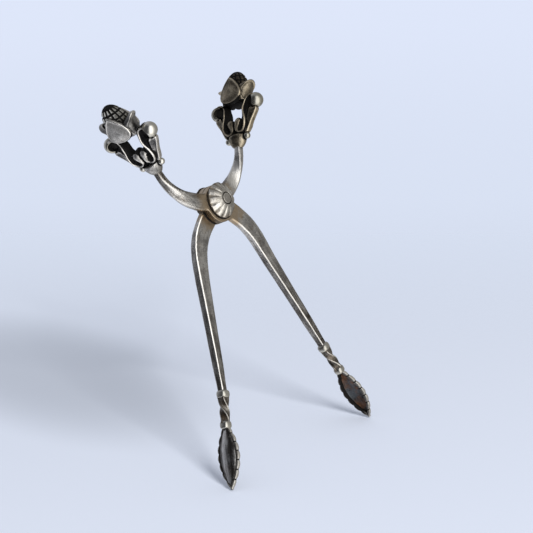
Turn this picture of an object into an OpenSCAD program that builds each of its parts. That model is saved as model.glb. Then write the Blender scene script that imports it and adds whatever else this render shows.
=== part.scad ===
// Scissor-action ice tongs in silver: two crossing forged arms on one rivet,
// twisted necks and leaf jaws below, openwork blossom grips above.
// Frame: origin on the pivot axis at the centre of the rear rivet head's flat face,
// Y along the rivet (front is -Y), Z up along the tongs, X across the opening.
// The arms are open, as they stand on their two jaw tips. Millimetres.
// Pieces are drawn for the front arm (leg to +X, grip to -X) about the middle of the
// two hub discs; back() turns them for the back arm and place() moves them to the origin.

/* [Pivot] */
// Radius of each hub disc's thick lower cheek
hub_r = 7.3; // [7.1:0.1:7.9]
// Radius of each hub disc round the rivet
disc_r = 6.5; // [6.2:0.1:6.8]
// Offset of the hub's cheek towards the outside of the bend
hub_off = 0.9; // [0:0.1:1.2]
// Thickness of each hub disc
hub_t = 2.8; // [2.8:0.1:3.2]
// Running gap between the two hub discs
hub_gap = 0.10; // [0.06:0.02:0.20]
// Diameter of the rivet shank
rivet_d = 3.2; // [2.6:0.1:3.6]
// Radial running clearance of the rivet in each hub bore
rivet_clear = 0.05; // [0.02:0.01:0.09]
// Diameter of the closed rivet heads
head_d = 4.3; // [4.0:0.1:4.8]
// Thickness of the closed rivet heads
head_t = 0.9; // [0.7:0.1:1.2]
// Base radius of the fluted caps
cap_r = 6.9; // [6.2:0.1:7.0]
// Height of the fluted caps
cap_h = 3.7; // [3.2:0.1:4.2]
// Number of flutes round each cap
flutes = 12; // [8:1:14]

/* [Legs] */
// Width of a leg where it leaves the hub
leg_w_root = 7.6; // [7.0:0.1:8.2]
// Width of a leg at its collar
leg_w_end = 2.7; // [2.5:0.1:3.2]
// Thickness of a leg along the pivot axis
leg_t = 2.8; // [2.5:0.1:2.8]
// Edge chamfer of the forged bars
edge_c = 0.35; // [0.2:0.05:0.5]
// Half distance between the two upper collars
knop_x = 32.2; // [31:0.1:33]
// Depth of the upper collars below the pivot
knop_z = 66.8; // [65:0.1:68]
// Outward bow of the front arm's leg against the mean line
bow_front = -1.3; // [-1.6:0.1:1.6]
// Outward bow of the back arm's leg against the mean line
bow_back = 1.9; // [-1.6:0.1:2.1]

/* [Necks and jaws] */
// Width of the upper collar across its flats
ucollar_w = 4.3; // [4.1:0.1:4.8]
// Length of the upper collar
ucollar_l = 3.3; // [2.8:0.1:3.8]
// Width of the lower collar across its flats
lcollar_w = 3.8; // [3.6:0.1:4.4]
// Length of the lower collar
lcollar_l = 3.3; // [2.8:0.1:3.8]
// Side of the twisted square neck at its ends
neck_w = 3.0; // [2.6:0.1:3.2]
// Side of the twisted square neck at its waist
neck_waist = 2.3; // [2.0:0.1:2.6]
// Turn of the twisted neck in degrees
neck_twist = 180; // [90:10:270]
// Length of a leaf jaw
leaf_l = 23.6; // [22:0.2:25]
// Width of a leaf jaw over its notched border
leaf_w = 10.2; // [9.6:0.2:11.0]
// Lean of the leaf jaws from the vertical in degrees
leaf_lean = 20.9; // [19:0.1:22]
// Number of notches along each border edge
notches = 7; // [5:1:9]

/* [Handles] */
// Width of the handle shank where it leaves the hub
shank_w_root = 6.6; // [6.0:0.1:7.4]
// Side of the handle shank at the calyx
shank_w_end = 3.0; // [2.6:0.1:3.2]
// Inward bow of the front arm's handle shank
sweep_front = -0.7; // [-1.0:0.1:1.0]
// Inward bow of the back arm's handle shank
sweep_back = 0.9; // [-1.0:0.1:1.0]
// Turn of the handle shank in degrees
shank_twist = 90; // [60:5:100]

/* [Blossom grips] */
// Half distance between the two calyx centres
grip_x = 26.0; // [25.4:0.1:26.6]
// Height of the calyx centres above the pivot
grip_z = 20.3; // [19.8:0.1:20.8]
// Lean of the blossoms from the vertical in degrees
grip_lean = 27.2; // [25:0.1:29]
// Radius of the polished scroll balls
ball_r = 3.0; // [2.8:0.05:3.2]
// Distance of the scroll balls from the grip's middle
ball_y = 9.9; // [9.7:0.1:10.3]
// Radius of the small calyx beads
bead_r = 1.35; // [1.25:0.05:1.5]
// Thickness of the scroll brackets
scroll_t = 4.4; // [4.0:0.1:4.8]
// Height of the bud's top above the calyx centre
bud_top = 28.2; // [27.6:0.1:28.8]
// Width of the bud core
bud_w = 12.0; // [11.6:0.2:12.4]
// Depth of the bud core from face to face
bud_d = 8.0; // [7.6:0.2:8.4]

/* [Hidden] */
$fn = 64;

// distances along the pivot axis from the middle of the two hub discs
disc_mid_y = hub_gap/2 + hub_t/2;
cap_base_y = hub_gap/2 + hub_t + 0.05;
cap_top_y = cap_base_y + cap_h;
head_face_y = cap_top_y + 0.03;

// the lower collar hangs on the neck's line, neck_len below the upper one
neck_len = 11.4;
neck_lean = 22.1;
upper_collar_at = [knop_x, 0, -knop_z];
lower_collar_at = upper_collar_at + neck_len*[sin(neck_lean), 0, -cos(neck_lean)];

// ---- curves and lofted bars ----
function blend(from, to, part) = from + part*(to - from);
// 0 up to start, 1 after start + span, an S-curve between
function ease(value, start = 0, span = 1) =
  let(part = min(1, max(0, (value - start)/span))) part*part*(3 - 2*part);
function unit(vector) = vector/norm(vector);
// point and derivative of a cubic Bezier curve with four control points
function bezier(ctrl, part) = let(rest = 1 - part)
  rest*rest*rest*ctrl[0] + 3*rest*rest*part*ctrl[1]
  + 3*rest*part*part*ctrl[2] + part*part*part*ctrl[3];
function bezier_slope(ctrl, part) = let(rest = 1 - part)
  3*rest*rest*(ctrl[1] - ctrl[0]) + 6*rest*part*(ctrl[2] - ctrl[1])
  + 3*part*part*(ctrl[3] - ctrl[2]);
function turned(point, angle) = [
  point[0]*cos(angle) - point[1]*sin(angle),
  point[0]*sin(angle) + point[1]*cos(angle)];

// eight-sided section of a chamfered bar
function bar_section(width, thick, chamfer) =
  let(x = width/2, y = thick/2, x_in = x - chamfer, y_in = y - chamfer)
  [[x, y_in], [x_in, y], [-x_in, y], [-x, y_in],
   [-x, -y_in], [-x_in, -y], [x_in, -y], [x, -y_in]];
// section set across a tangent that lies in the XZ plane
function ring(centre, tangent, section, angle = 0) =
  let(normal = [tangent[2], 0, -tangent[0]])
  [for (point = section) let(spun = turned(point, angle))
    centre + normal*spun[0] + [0, spun[1], 0]];

// closed solid through a list of rings
module loft(rings) {
  size = len(rings[0]);
  last = len(rings) - 1;
  sides = [for (i = [0:last-1], j = [0:size-1])
    let(here = i*size, above = here + size, next = (j + 1)%size) each
    [[here + j, above + next, here + next], [here + j, above + j, above + next]]];
  ends = [for (j = [1:size-2]) each
    [[0, j, j + 1], [last*size, last*size + j + 1, last*size + j]]];
  polyhedron(points = [for (ring = rings) each ring], faces = concat(sides, ends),
    convexity = 6);
}

// ---- placing ----
module place() { translate([0, -head_face_y, 0]) children(); }
module back() { rotate([0, 0, 180]) children(); }
// turns Z to the front
module to_front() { rotate([90, 0, 0]) children(); }
// local Z runs down and outwards from a point, local X towards the other jaw
module hang(point, lean) { translate(point) rotate([0, 180 - lean, 0]) children(); }
// grip frame: Z along the blossom, Y across it, X through its faces
module at_grip() { translate([-grip_x, 0, grip_z]) rotate([0, -grip_lean, 0]) children(); }
// the +Y half and its mirror image
module both_sides() { for (side = [-1, 1]) scale([1, side, 1]) children(); }
// YZ outline with its thickness centred on X = 0
module plate(thick) {
  translate([-thick/2, 0, 0]) rotate([90, 0, 90]) linear_extrude(height = thick) children();
}
// half outline closed by its mirror image, which leaves out skip points at each end
function mirrored(half, skip = 0) = concat(half,
  [for (i = [len(half)-1-skip:-1:skip]) [-half[i][0], half[i][1]]]);

// ---- arm: hub disc, leg and handle shank in one forging ----
leg_curve_steps = 9;
leg_straight_steps = 7;
// distance from the pivot, leg width
leg_widths = [[6, leg_w_root], [17, 6.8], [24, 5.9], [32, 5.0], [42, 4.2],
  [52, 3.5], [62, 2.95], [70, leg_w_end], [76, leg_w_end]];
function leg_curve(bow) =
  [[4.6, 0, -4.4], [12.6 + bow, 0, -10.4], [17.4 + bow, 0, -17.0], [20.2 + bow, 0, -27.5]];
// the leg comes from its disc's plane to the tongs' middle plane on the way down
function leg_ring(point, tangent) =
  ring([point[0], -disc_mid_y*(1 - ease(-point[2], 9, 16)), point[2]], tangent,
    bar_section(lookup(norm(point), leg_widths), leg_t, edge_c));

// curved from the hub, then straight to the upper collar
module leg_bar(bow) {
  curve = leg_curve(bow);
  bend = curve[3];
  straight = unit(upper_collar_at - bend);
  bend_tangent = unit(straight + unit(bezier_slope(curve, 1)));
  loft(concat(
    [for (i = [0:leg_curve_steps-1]) let(part = i/leg_curve_steps)
      leg_ring(bezier(curve, part), unit(bezier_slope(curve, part)))],
    [for (i = [0:leg_straight_steps])
      leg_ring(blend(bend, upper_collar_at, i/leg_straight_steps),
        i == 0 ? bend_tangent : straight)]));
}

shank_steps = 16;
function shank_curve(sweep) = [
  [-4.6, 0, 0.9],
  [-15 + 0.3*sweep, 0, 2.2 + 0.9*sweep],
  [-21.7 + 0.85*sweep, 0, 8.6 + 0.5*sweep],
  [-grip_x + 1.0, 0, grip_z - 2.2]];
function shank_section(part) = bar_section(
  blend(shank_w_root, shank_w_end, ease(part, 0.12, 0.83)),
  blend(leg_t, shank_w_end, ease(1.15*part)), edge_c);

module shank_bar(sweep) {
  curve = shank_curve(sweep);
  loft([for (i = [0:shank_steps]) let(part = i/shank_steps, point = bezier(curve, part))
    ring([point[0], -disc_mid_y*(1 - ease(part, 0.25, 0.6)), point[2]],
      unit(bezier_slope(curve, part)), shank_section(part),
      -shank_twist*ease(part, 0.2, 0.75))]);
}

module arm(bow, sweep) {
  cheek_x = -0.7*hub_off;
  color("silver") difference() {
    union() {
      translate([0, -hub_gap/2, 0]) to_front() cylinder(h = hub_t, r = disc_r);
      translate([cheek_x, -hub_gap/2, -hub_off]) to_front() cylinder(h = hub_t, r = hub_r);
      leg_bar(bow);
      shank_bar(sweep);
    }
    translate([0, 1, 0]) to_front() cylinder(h = hub_t + 3, d = rivet_d + 2*rivet_clear);
  }
}

// ---- pivot ----
// radius, height
cap_profile = [[0, 0], [cap_r, 0], [cap_r, 0.55], [cap_r - 0.35, 0.95],
  [cap_r*0.80, cap_h*0.60], [cap_r*0.58, cap_h*0.86], [cap_r*0.40, cap_h], [0, cap_h]];
flute_slope = 52;

// cone lying on the cap's slope, widest at the base
module flute() {
  translate([0, -0.62, cap_r + 0.25]) rotate([90 + flute_slope, 0, 0])
    translate([0, 0, -0.9]) cylinder(h = 5.2, r1 = 0.95, r2 = 0.16, $fn = 24);
}

// fluted dome with a bore for the rivet shank and a seat for its head
module cap() {
  color("gainsboro") translate([0, -cap_base_y, 0]) difference() {
    to_front() rotate_extrude() polygon(cap_profile);
    for (i = [0:flutes-1]) rotate([0, (i + 0.5)*360/flutes, 0]) flute();
    translate([0, 1, 0]) to_front() cylinder(h = cap_h + 3, d = rivet_d + 0.04);
    translate([0, -cap_h + head_t, 0]) to_front() cylinder(h = 3, d = head_d + 0.24);
  }
}

module pivot_rivet() {
  shank_end = cap_top_y - head_t/2;
  color("lightgray") to_front() {
    translate([0, 0, -shank_end]) cylinder(h = 2*shank_end, d = rivet_d);
    for (side = [-1, 1]) translate([0, 0, side*(head_face_y - head_t/2)])
      cylinder(h = head_t, d = head_d, center = true);
  }
}

// ---- collars and necks ----
collar_round = 1.25;
module collar(width, length) {
  x = width/2 - collar_round;
  z = length/2 - collar_round;
  color("gainsboro") hull() for (i = [-1, 1], j = [-1, 1], k = [-1, 1])
    translate([i*x, j*x, k*z]) sphere(r = collar_round, $fn = 24);
}
module upper_collar() { hang(upper_collar_at, neck_lean) collar(ucollar_w, ucollar_l); }
module lower_collar() { hang(lower_collar_at, neck_lean) collar(lcollar_w, lcollar_l); }

neck_steps = 18;
neck_chamfer = 0.3;
neck_inset = 0.6; // from each collar's centre to the neck's end
module twisted_neck() {
  color("silver") hang(upper_collar_at, neck_lean) loft([for (i = [0:neck_steps])
    let(part = i/neck_steps, side = blend(neck_w, neck_waist, sin(180*part)),
      angle = neck_twist*ease(part, 0.08, 0.84))
    [for (point = bar_section(side, side, neck_chamfer))
      concat(turned(point, angle), blend(neck_inset, neck_len - neck_inset, part))]]);
}

// ---- jaws ----
// shallow bowl: domed outwards (-X), hollow towards the other jaw (+X)
module jaw_leaf() {
  steps = 20;
  arc_steps = 10;
  bowl_start = 0.4;
  bowl_l = leaf_l - 1.6;
  half_w = (leaf_w - 2.6)/2;
  color("dimgray") hang(lower_collar_at, leaf_lean) loft([for (i = [0:steps])
    let(part = 0.02 + 0.96*i/steps, z = bowl_start + bowl_l*part,
      half = half_w*pow(sin(180*part), 0.8) + 0.12, depth = half/half_w)
    concat(
      [for (j = [0:arc_steps]) let(angle = 180*j/arc_steps)
        [-0.35 - 1.35*depth*sin(angle), half*cos(angle), z]],
      [for (j = [arc_steps-1:-1:1]) let(angle = 180*j/arc_steps)
        [0.30 - 0.35*(1 - depth) - 0.75*depth*sin(angle), half*cos(angle), z]])]);
}

// half width of the pointed leaf at a distance from its collar
function leaf_half(z) = leaf_w/2*pow(max(0, sin(180*(z + 0.8)/(leaf_l + 0.8))), 0.82);

// open frame round the leaf, its outer edge notched
module jaw_border() {
  steps = 56;
  end_steps = 3; // steps left solid at each end
  notch_depth = 0.55;
  rim_w = 1.5;
  outer = [for (i = [0:steps])
    let(z = i*leaf_l/steps,
      notch = i == 0 || i == steps ? 0 : notch_depth*(1 - abs(sin(180*notches*i/steps))))
    [max(0.5, leaf_half(z) - notch), z]];
  inner = [for (i = [end_steps:steps-end_steps]) let(z = i*leaf_l/steps)
    [max(0.15, leaf_half(z) - rim_w), z]];
  color("silver") hang(lower_collar_at, leaf_lean) translate([0.05, 0, 0]) plate(2.0)
    difference() {
      polygon(mirrored(outer));
      polygon(mirrored(inner));
    }
}

// ---- blossom grip, heights above the calyx centre ----
// lower part of an egg
module calyx() {
  top = 0.9;
  color("gray") at_grip() intersection() {
    translate([0, 0, 0.6]) scale([3.0, 4.0, 5.0]) sphere(r = 1);
    translate([-5, -5, -6]) cube([10, 10, top + 6]);
  }
}

bead_y = 4.8;
module calyx_beads() {
  color("lightgray") at_grip()
    for (side = [-1, 1]) translate([0, side*bead_y, 0]) sphere(r = bead_r, $fn = 32);
}

// Y, Z, radius: lower hook, lobe and upper volute
scroll_rounds = [[3.0, 3.9, 2.9], [1.75, 6.3, 1.65], [8.0, 13.3, 2.7]];
// Y, Z
scroll_stem = [[4.9, 2.2], [6.2, 4.2], [7.3, 8.0], [8.8, 10.6], [9.2, 13.4], [5.2, 13.9],
  [4.6, 10.5], [4.7, 7.2], [3.0, 4.4]];
scroll_eyes = [[3.2, 4.3], [7.8, 13.1]];
scroll_eye_r = 0.75;
module scroll_brackets() {
  color("slategray") at_grip() both_sides() plate(scroll_t) difference() {
    union() {
      for (disc = scroll_rounds) translate([disc[0], disc[1]]) circle(r = disc[2]);
      polygon(scroll_stem);
    }
    for (eye = scroll_eyes) translate(eye) circle(r = scroll_eye_r);
  }
}

ball_z = 13.2;
module scroll_balls() {
  color("lightgray") at_grip()
    for (side = [-1, 1]) translate([0, side*ball_y, ball_z]) sphere(r = ball_r);
}

// Y, Z
side_leaf_outline = [[4.7, 0.9], [5.9, 1.2], [8.1, 5.2], [10.8, 9.3], [10.5, 10.6],
  [8.2, 10.6], [7.6, 8.4], [6.4, 5.0]];
module side_leaves() {
  color("gray") at_grip() both_sides() plate(3.0) polygon(side_leaf_outline);
}

// egg cut flat at its base
bud_base = 12.9;
bud_half_h = 9.2;
module bud_core() {
  color("dimgray") at_grip() intersection() {
    translate([0, 0, bud_top - bud_half_h]) scale([bud_d/2, bud_w/2, bud_half_h])
      sphere(r = 1);
    translate([-6, -8, bud_base]) cube([12, 16, 18]);
  }
}

// pointed shields on the bud's two faces: round base, pointed top
module face_petals() {
  steps = 24;
  base_z = 13.2;
  height = 11.6;
  half_w = 5.3;
  face_x = 3.95;
  tilt = 2;
  half = [for (i = [0:steps]) let(part = i/steps)
    [half_w*pow(sin(180*pow(part, 0.62)), 0.75), base_z + height*part]];
  color("silver") at_grip() for (side = [-1, 1])
    translate([side*face_x, 0, 0]) rotate([0, -side*tilt, 0]) plate(1.5)
      polygon(mirrored(half, skip = 1));
}

// Y, Z
side_petal_outline = [[4.2, 14.4], [5.8, 15.2], [7.2, 17.0], [8.1, 19.2], [8.4, 21.4],
  [7.7, 22.0], [6.5, 21.2], [5.5, 21.4], [4.8, 20.8]];
module side_petals() {
  color("darkgray") at_grip() both_sides() plate(4.0) polygon(side_petal_outline);
}

place() arm(bow_front, sweep_front);  // front_arm
place() back() arm(bow_back, sweep_back);  // back_arm
place() pivot_rivet();
place() cap();  // front_cap
place() back() cap();  // rear_cap
place() upper_collar();  // front_upper_collar
place() back() upper_collar();  // back_upper_collar
place() twisted_neck();  // front_twisted_neck
place() back() twisted_neck();  // back_twisted_neck
place() lower_collar();  // front_lower_collar
place() back() lower_collar();  // back_lower_collar
place() jaw_leaf();  // front_jaw_leaf
place() back() jaw_leaf();  // back_jaw_leaf
place() jaw_border();  // front_jaw_border
place() back() jaw_border();  // back_jaw_border
place() calyx();  // front_calyx
place() back() calyx();  // back_calyx
place() calyx_beads();  // front_calyx_beads
place() back() calyx_beads();  // back_calyx_beads
place() scroll_brackets();  // front_scroll_brackets
place() back() scroll_brackets();  // back_scroll_brackets
place() scroll_balls();  // front_scroll_balls
place() back() scroll_balls();  // back_scroll_balls
place() side_leaves();  // front_side_leaves
place() back() side_leaves();  // back_side_leaves
place() bud_core();  // front_bud_core
place() back() bud_core();  // back_bud_core
place() face_petals();  // front_face_petals
place() back() face_petals();  // back_face_petals
place() side_petals();  // front_side_petals
place() back() side_petals();  // back_side_petals
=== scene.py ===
"""Silver tongs: two arms crossed on a rivet. Each arm has a blossom grip at the end of its
handle shank and, below a twisted neck between two collars, a leaf-shaped jaw.

Pieces are drawn in millimetres about the middle of the two hub discs, then moved by PLACE and
scaled to metres. Front is -Y and Z runs up the tongs. The front arm has its grip at -X and its
jaw at +X; the back arm is drawn the same way and given half a turn round Z.
"""
import math

import bpy
import numpy as np
from mathutils import Matrix, Vector


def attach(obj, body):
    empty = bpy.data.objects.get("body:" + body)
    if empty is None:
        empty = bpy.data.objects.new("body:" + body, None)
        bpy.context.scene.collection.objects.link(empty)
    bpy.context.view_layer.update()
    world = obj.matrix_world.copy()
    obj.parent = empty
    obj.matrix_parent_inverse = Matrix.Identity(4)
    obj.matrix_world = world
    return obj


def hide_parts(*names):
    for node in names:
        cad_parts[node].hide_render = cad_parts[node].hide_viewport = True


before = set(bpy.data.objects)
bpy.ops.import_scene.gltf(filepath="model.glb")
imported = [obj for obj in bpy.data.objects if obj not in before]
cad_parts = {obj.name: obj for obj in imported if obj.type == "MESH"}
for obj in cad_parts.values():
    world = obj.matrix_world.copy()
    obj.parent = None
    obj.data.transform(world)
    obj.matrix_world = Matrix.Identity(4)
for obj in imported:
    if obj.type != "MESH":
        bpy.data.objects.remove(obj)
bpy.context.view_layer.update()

MM = 0.001
PLACE = np.array([0.0, -6.63, 0.0])
F32 = np.float32

HUB_THICK = 2.8
HUB_BACK = -0.05        # Y of the face where a hub disc meets the other arm's
SHANK_END = 3.0         # side of the square end of a handle shank
ARM_OFFSET = 1.45       # how far in front of Y = 0 an arm's middle runs near the hub

NECK_TOP = np.array([32.2, 0.0, -66.8])
NECK_LEAN, NECK_LEN = 22.1, 11.4
NECK_END = NECK_TOP + NECK_LEN * np.array(
    [math.sin(math.radians(NECK_LEAN)), 0, -math.cos(math.radians(NECK_LEAN))])

# Frames pieces are drawn in: origin, and turn about Y in degrees
PIVOT = (np.zeros(3), 0.0)
GRIP = (np.array([-26.0, 0.0, 20.3]), -27.2)
UPPER_NECK = (NECK_TOP, 180.0 - NECK_LEAN)
LOWER_NECK = (NECK_END, 180.0 - NECK_LEAN)
JAW = (NECK_END, 180.0 - 20.9)


# ------------------------------------------------------------------ easing and blending
def smooth(t):
    clipped = np.clip(t, 0.0, 1.0)
    return clipped * clipped * (3.0 - 2.0 * clipped)


def rise(value, start, width):
    """0 up to start, 1 from start + width."""
    return smooth((value - start) / width)


def fall(value, end, width):
    """1 up to end - width, 0 from end."""
    return smooth((end - value) / width)


def bell(value, width):
    return np.exp(-(value / width) ** 2)


def smin(first, second, soften):
    share = np.clip(0.5 + 0.5 * (second - first) / soften, 0.0, 1.0)
    return second * (1.0 - share) + first * share - soften * share * (1.0 - share)


def smax(first, second, soften):
    return -smin(-first, -second, soften)


def unit(vectors):
    return vectors / np.maximum(np.linalg.norm(vectors, axis=1), 1e-9)[:, None]


# ------------------------------------------------------------------ distance fields to meshes
CORNERS = [(i, j, k) for i in (0, 1) for j in (0, 1) for k in (0, 1)]


class Grid:
    """A box of samples, step apart, starting at low."""

    def __init__(self, low, high, step):
        self.low = np.array(low, float)
        self.step = step
        self.lines = [
            (low[k] + step * np.arange(math.ceil((high[k] - low[k]) / step) + 1)).astype(F32)
            for k in range(3)]
        self.count = [len(line) for line in self.lines]

    def solid(self):
        """The three coordinates, each shaped to broadcast over the box."""
        x, y, z = self.lines
        return x[:, None, None], y[None, :, None], z[None, None, :]

    def plane(self, i, j):
        """Two of the coordinates, shaped to broadcast over a plane."""
        return self.lines[i][:, None], self.lines[j][None, :]


def mix_corners(part, value_at):
    """Trilinear mix of the values at a cell's corners, at part of the way across it."""
    total = 0.0
    for corner in CORNERS:
        weight = 1.0
        for k, far in enumerate(corner):
            weight = weight * (part[:, k] if far else 1.0 - part[:, k])
        total = total + weight * value_at(corner)
    return total


def sample(field, low, step, points):
    cells = (points - low) / step
    base = np.clip(np.floor(cells).astype(np.int64), 0, np.array(field.shape) - 2)
    part = np.clip(cells - base, 0.0, 1.0)
    return mix_corners(part, lambda corner: field[tuple((base + corner).T)])


def gradient(field, low, step, points):
    reach = step * 0.75
    slope = np.empty_like(points)
    for k in range(3):
        shift = np.zeros(3)
        shift[k] = reach
        slope[:, k] = (sample(field, low, step, points + shift)
                       - sample(field, low, step, points - shift))
    return slope / (2.0 * reach)


def surface_nets(field, low, step):
    """Closed quad mesh of the field's zero level (negative inside), one point per cell crossed."""
    count = field.shape
    inside = field < 0
    corners_in = np.zeros([n - 1 for n in count], np.int8)
    for corner in CORNERS:
        corners_in += inside[tuple(slice(c, n - 1 + c) for c, n in zip(corner, count))]
    active = (corners_in > 0) & (corners_in < 8)
    cells = np.argwhere(active)
    index = np.full(active.shape, -1, np.int64)
    index[active] = np.arange(len(cells))

    total = np.zeros((len(cells), 3))
    hits = np.zeros(len(cells))
    value = {corner: field[tuple((cells + corner).T)] for corner in CORNERS}
    for corner in CORNERS:
        for k in range(3):
            if corner[k]:
                continue
            near = value[corner]
            far = value[tuple(1 if j == k else corner[j] for j in range(3))]
            crossed = (near < 0) != (far < 0)
            point = np.tile(np.array(corner, float), (len(cells), 1))
            point[:, k] += np.where(crossed, near / np.where(crossed, near - far, 1.0), 0.0)
            total += point * crossed[:, None]
            hits += crossed
    verts = np.asarray(low) + step * (cells + total / hits[:, None])

    faces = []
    for k in range(3):
        i, j = (k + 1) % 3, (k + 2) % 3
        lower, upper = [slice(None)] * 3, [slice(None)] * 3
        lower[k], upper[k] = slice(0, count[k] - 1), slice(1, count[k])
        start_in = inside[tuple(lower)]
        edges = np.argwhere(start_in != inside[tuple(upper)])
        edges = edges[(edges[:, i] >= 1) & (edges[:, j] >= 1)
                      & (edges[:, i] <= count[i] - 2) & (edges[:, j] <= count[j] - 2)]
        outward = start_in[tuple(edges.T)]
        side_i, side_j = np.eye(3, dtype=int)[[i, j]]
        quads = np.stack([index[tuple((edges - offset).T)]
                          for offset in (side_i + side_j, side_j, 0 * side_i, side_i)], 1)
        quads[~outward] = quads[~outward][:, ::-1]
        faces.append(quads)
    return verts, np.concatenate(faces)


def mesh_field(field, low, step):
    """Vertices drawn onto the zero level, faces and unit normals."""
    verts, faces = surface_nets(field, low, step)
    for _ in range(2):
        slope = gradient(field, low, step, verts)
        steepness = np.maximum((slope * slope).sum(1), 0.2)
        move = sample(field, low, step, verts) / steepness
        verts = verts - slope * np.clip(move, -0.5 * step, 0.5 * step)[:, None]
    return verts, faces, unit(gradient(field, low, step, verts))


def blur(field, reach):
    """Two passes of a box blur of half width reach samples on each axis."""
    out = field.astype(F32)
    width = 2 * reach + 1
    for _ in range(2):
        for k in range(3):
            pad = [(0, 0)] * 3
            pad[k] = (reach + 1, reach)
            sums = np.cumsum(np.pad(out, pad, mode="edge"), axis=k, dtype=np.float64)
            ahead, behind = [slice(None)] * 3, [slice(None)] * 3
            ahead[k], behind[k] = slice(width, None), slice(0, -width)
            out = ((sums[tuple(ahead)] - sums[tuple(behind)]) / width).astype(F32)
    return out


def noise(points, wave, seed):
    """Smooth value noise, -1 to 1, of that wavelength in mm."""
    size = 24
    lattice = np.random.default_rng(seed).uniform(-1, 1, (size, size, size)).astype(F32)
    cells = points / wave + 100.0
    base = np.floor(cells).astype(np.int64)
    return mix_corners(smooth(cells - base),
                       lambda corner: lattice[tuple(((base + corner) % size).T)])


def ease(values, faces):
    """Evens out a vertex value along the mesh edges, so that its limits run smoothly."""
    size = faces.shape[1]
    edges = np.vstack([faces[:, [j, (j + 1) % size]] for j in range(size)])
    degree = np.maximum(np.bincount(edges.ravel(), minlength=len(values)), 1)
    for _ in range(4):
        around = (np.bincount(edges[:, 0], values[edges[:, 1]], len(values))
                  + np.bincount(edges[:, 1], values[edges[:, 0]], len(values)))
        values = 0.4 * values + 0.6 * around / degree
    return values


# ------------------------------------------------------------------ plane curves and outlines
def catmull(points, per_span):
    """A smooth curve through rows of any length."""
    rows = np.array(points, float)
    rows = np.vstack([2 * rows[0] - rows[1], rows, 2 * rows[-1] - rows[-2]])
    out = []
    for i in range(1, len(rows) - 2):
        a, b, c, d = rows[i - 1:i + 3]
        for t in np.linspace(0, 1, per_span, endpoint=False):
            out.append(0.5 * (2 * b + (c - a) * t + (2 * a - 5 * b + 4 * c - d) * t * t
                              + (3 * b - a - 3 * c + d) * t ** 3))
    out.append(rows[-2])
    return np.array(out)


def stroke(across, up, points):
    """Plane distances to a stroke through rows of (across, up, radius): its edge, its middle."""
    edge = np.full(np.broadcast(across, up).shape, 1e3, F32)
    middle = edge.copy()
    for a, b in zip(points[:-1], points[1:]):
        run = b[:2] - a[:2]
        square = max(float(run @ run), 1e-9)
        t = np.clip(((across - a[0]) * run[0] + (up - a[1]) * run[1]) / square, 0, 1)
        dist = np.hypot(across - a[0] - t * run[0], up - a[1] - t * run[1])
        edge = np.minimum(edge, dist - (a[2] + (b[2] - a[2]) * t))
        middle = np.minimum(middle, dist)
    return edge, middle


def outline(across, up, points):
    """Signed distance to a closed polygon, negative inside."""
    corners = np.array(points, float)
    square = np.full(np.broadcast(across, up).shape, 1e6, float)
    sign = np.ones(square.shape)
    for i, a in enumerate(corners):
        b = corners[i - 1]
        run = b - a
        off_x, off_y = across - a[0], up - a[1]
        t = np.clip((off_x * run[0] + off_y * run[1]) / max(run @ run, 1e-12), 0, 1)
        square = np.minimum(square, (off_x - run[0] * t) ** 2 + (off_y - run[1] * t) ** 2)
        above, below, left = up >= a[1], up < b[1], run[0] * off_y > run[1] * off_x
        sign = np.where((above & below & left) | (~above & ~below & ~left), -sign, sign)
    return (sign * np.sqrt(square)).astype(F32)


def mirrored(half, height):
    """Closed outline from half widths at heights."""
    return np.vstack([np.stack([half, height], 1), np.stack([-half[::-1], height[::-1]], 1)])


# ------------------------------------------------------------------ placing pieces
def turn_y(vectors, degrees):
    cos, sin = math.cos(math.radians(degrees)), math.sin(math.radians(degrees))
    x, y, z = vectors.T
    return np.stack([x * cos + z * sin, y, -x * sin + z * cos], 1)


def piece(name, body, mat, mesh, at, attrs, norms=None, weighted=False, turned=False):
    """One object from mm vertices in the frame at, riding on body; turned is half a turn
    round Z."""
    verts, faces = mesh
    origin, degrees = at
    way = np.array([-1.0, -1.0, 1.0]) if turned else np.ones(3)
    points = (turn_y(np.asarray(verts, float), degrees) + origin) * way
    data = bpy.data.meshes.new(name)
    faces = faces.tolist() if isinstance(faces, np.ndarray) else faces
    data.from_pydata(((points + PLACE) * MM).tolist(), [], faces)
    data.update()
    for key, values in attrs.items():
        flat = values.astype(F32).ravel()
        if values.ndim == 1:
            data.attributes.new(key, "FLOAT", "POINT").data.foreach_set("value", flat)
        else:
            data.attributes.new(key, "FLOAT_VECTOR", "POINT").data.foreach_set("vector", flat)
    data.polygons.foreach_set("use_smooth", np.ones(len(data.polygons), bool))
    if norms is not None:
        placed = unit(turn_y(norms, degrees) * way)
        data.normals_split_custom_set_from_vertices(placed.tolist())
    obj = bpy.data.objects.new(name, data)
    bpy.context.scene.collection.objects.link(obj)
    data.materials.append(mat)
    if weighted:
        obj.modifiers.new("weighted", "WEIGHTED_NORMAL").keep_sharp = True
    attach(obj, body)
    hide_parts(name)


def both(name, mats, mesh, at, attrs, norms=None, weighted=False, attrs_back=None):
    """The same piece on the front arm and on the back arm."""
    for body, mat, own in (("front", mats[0], attrs), ("back", mats[1], attrs_back or attrs)):
        piece(f"{body}_{name}", body, mat, mesh, at, own, norms, weighted, body == "back")


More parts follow.
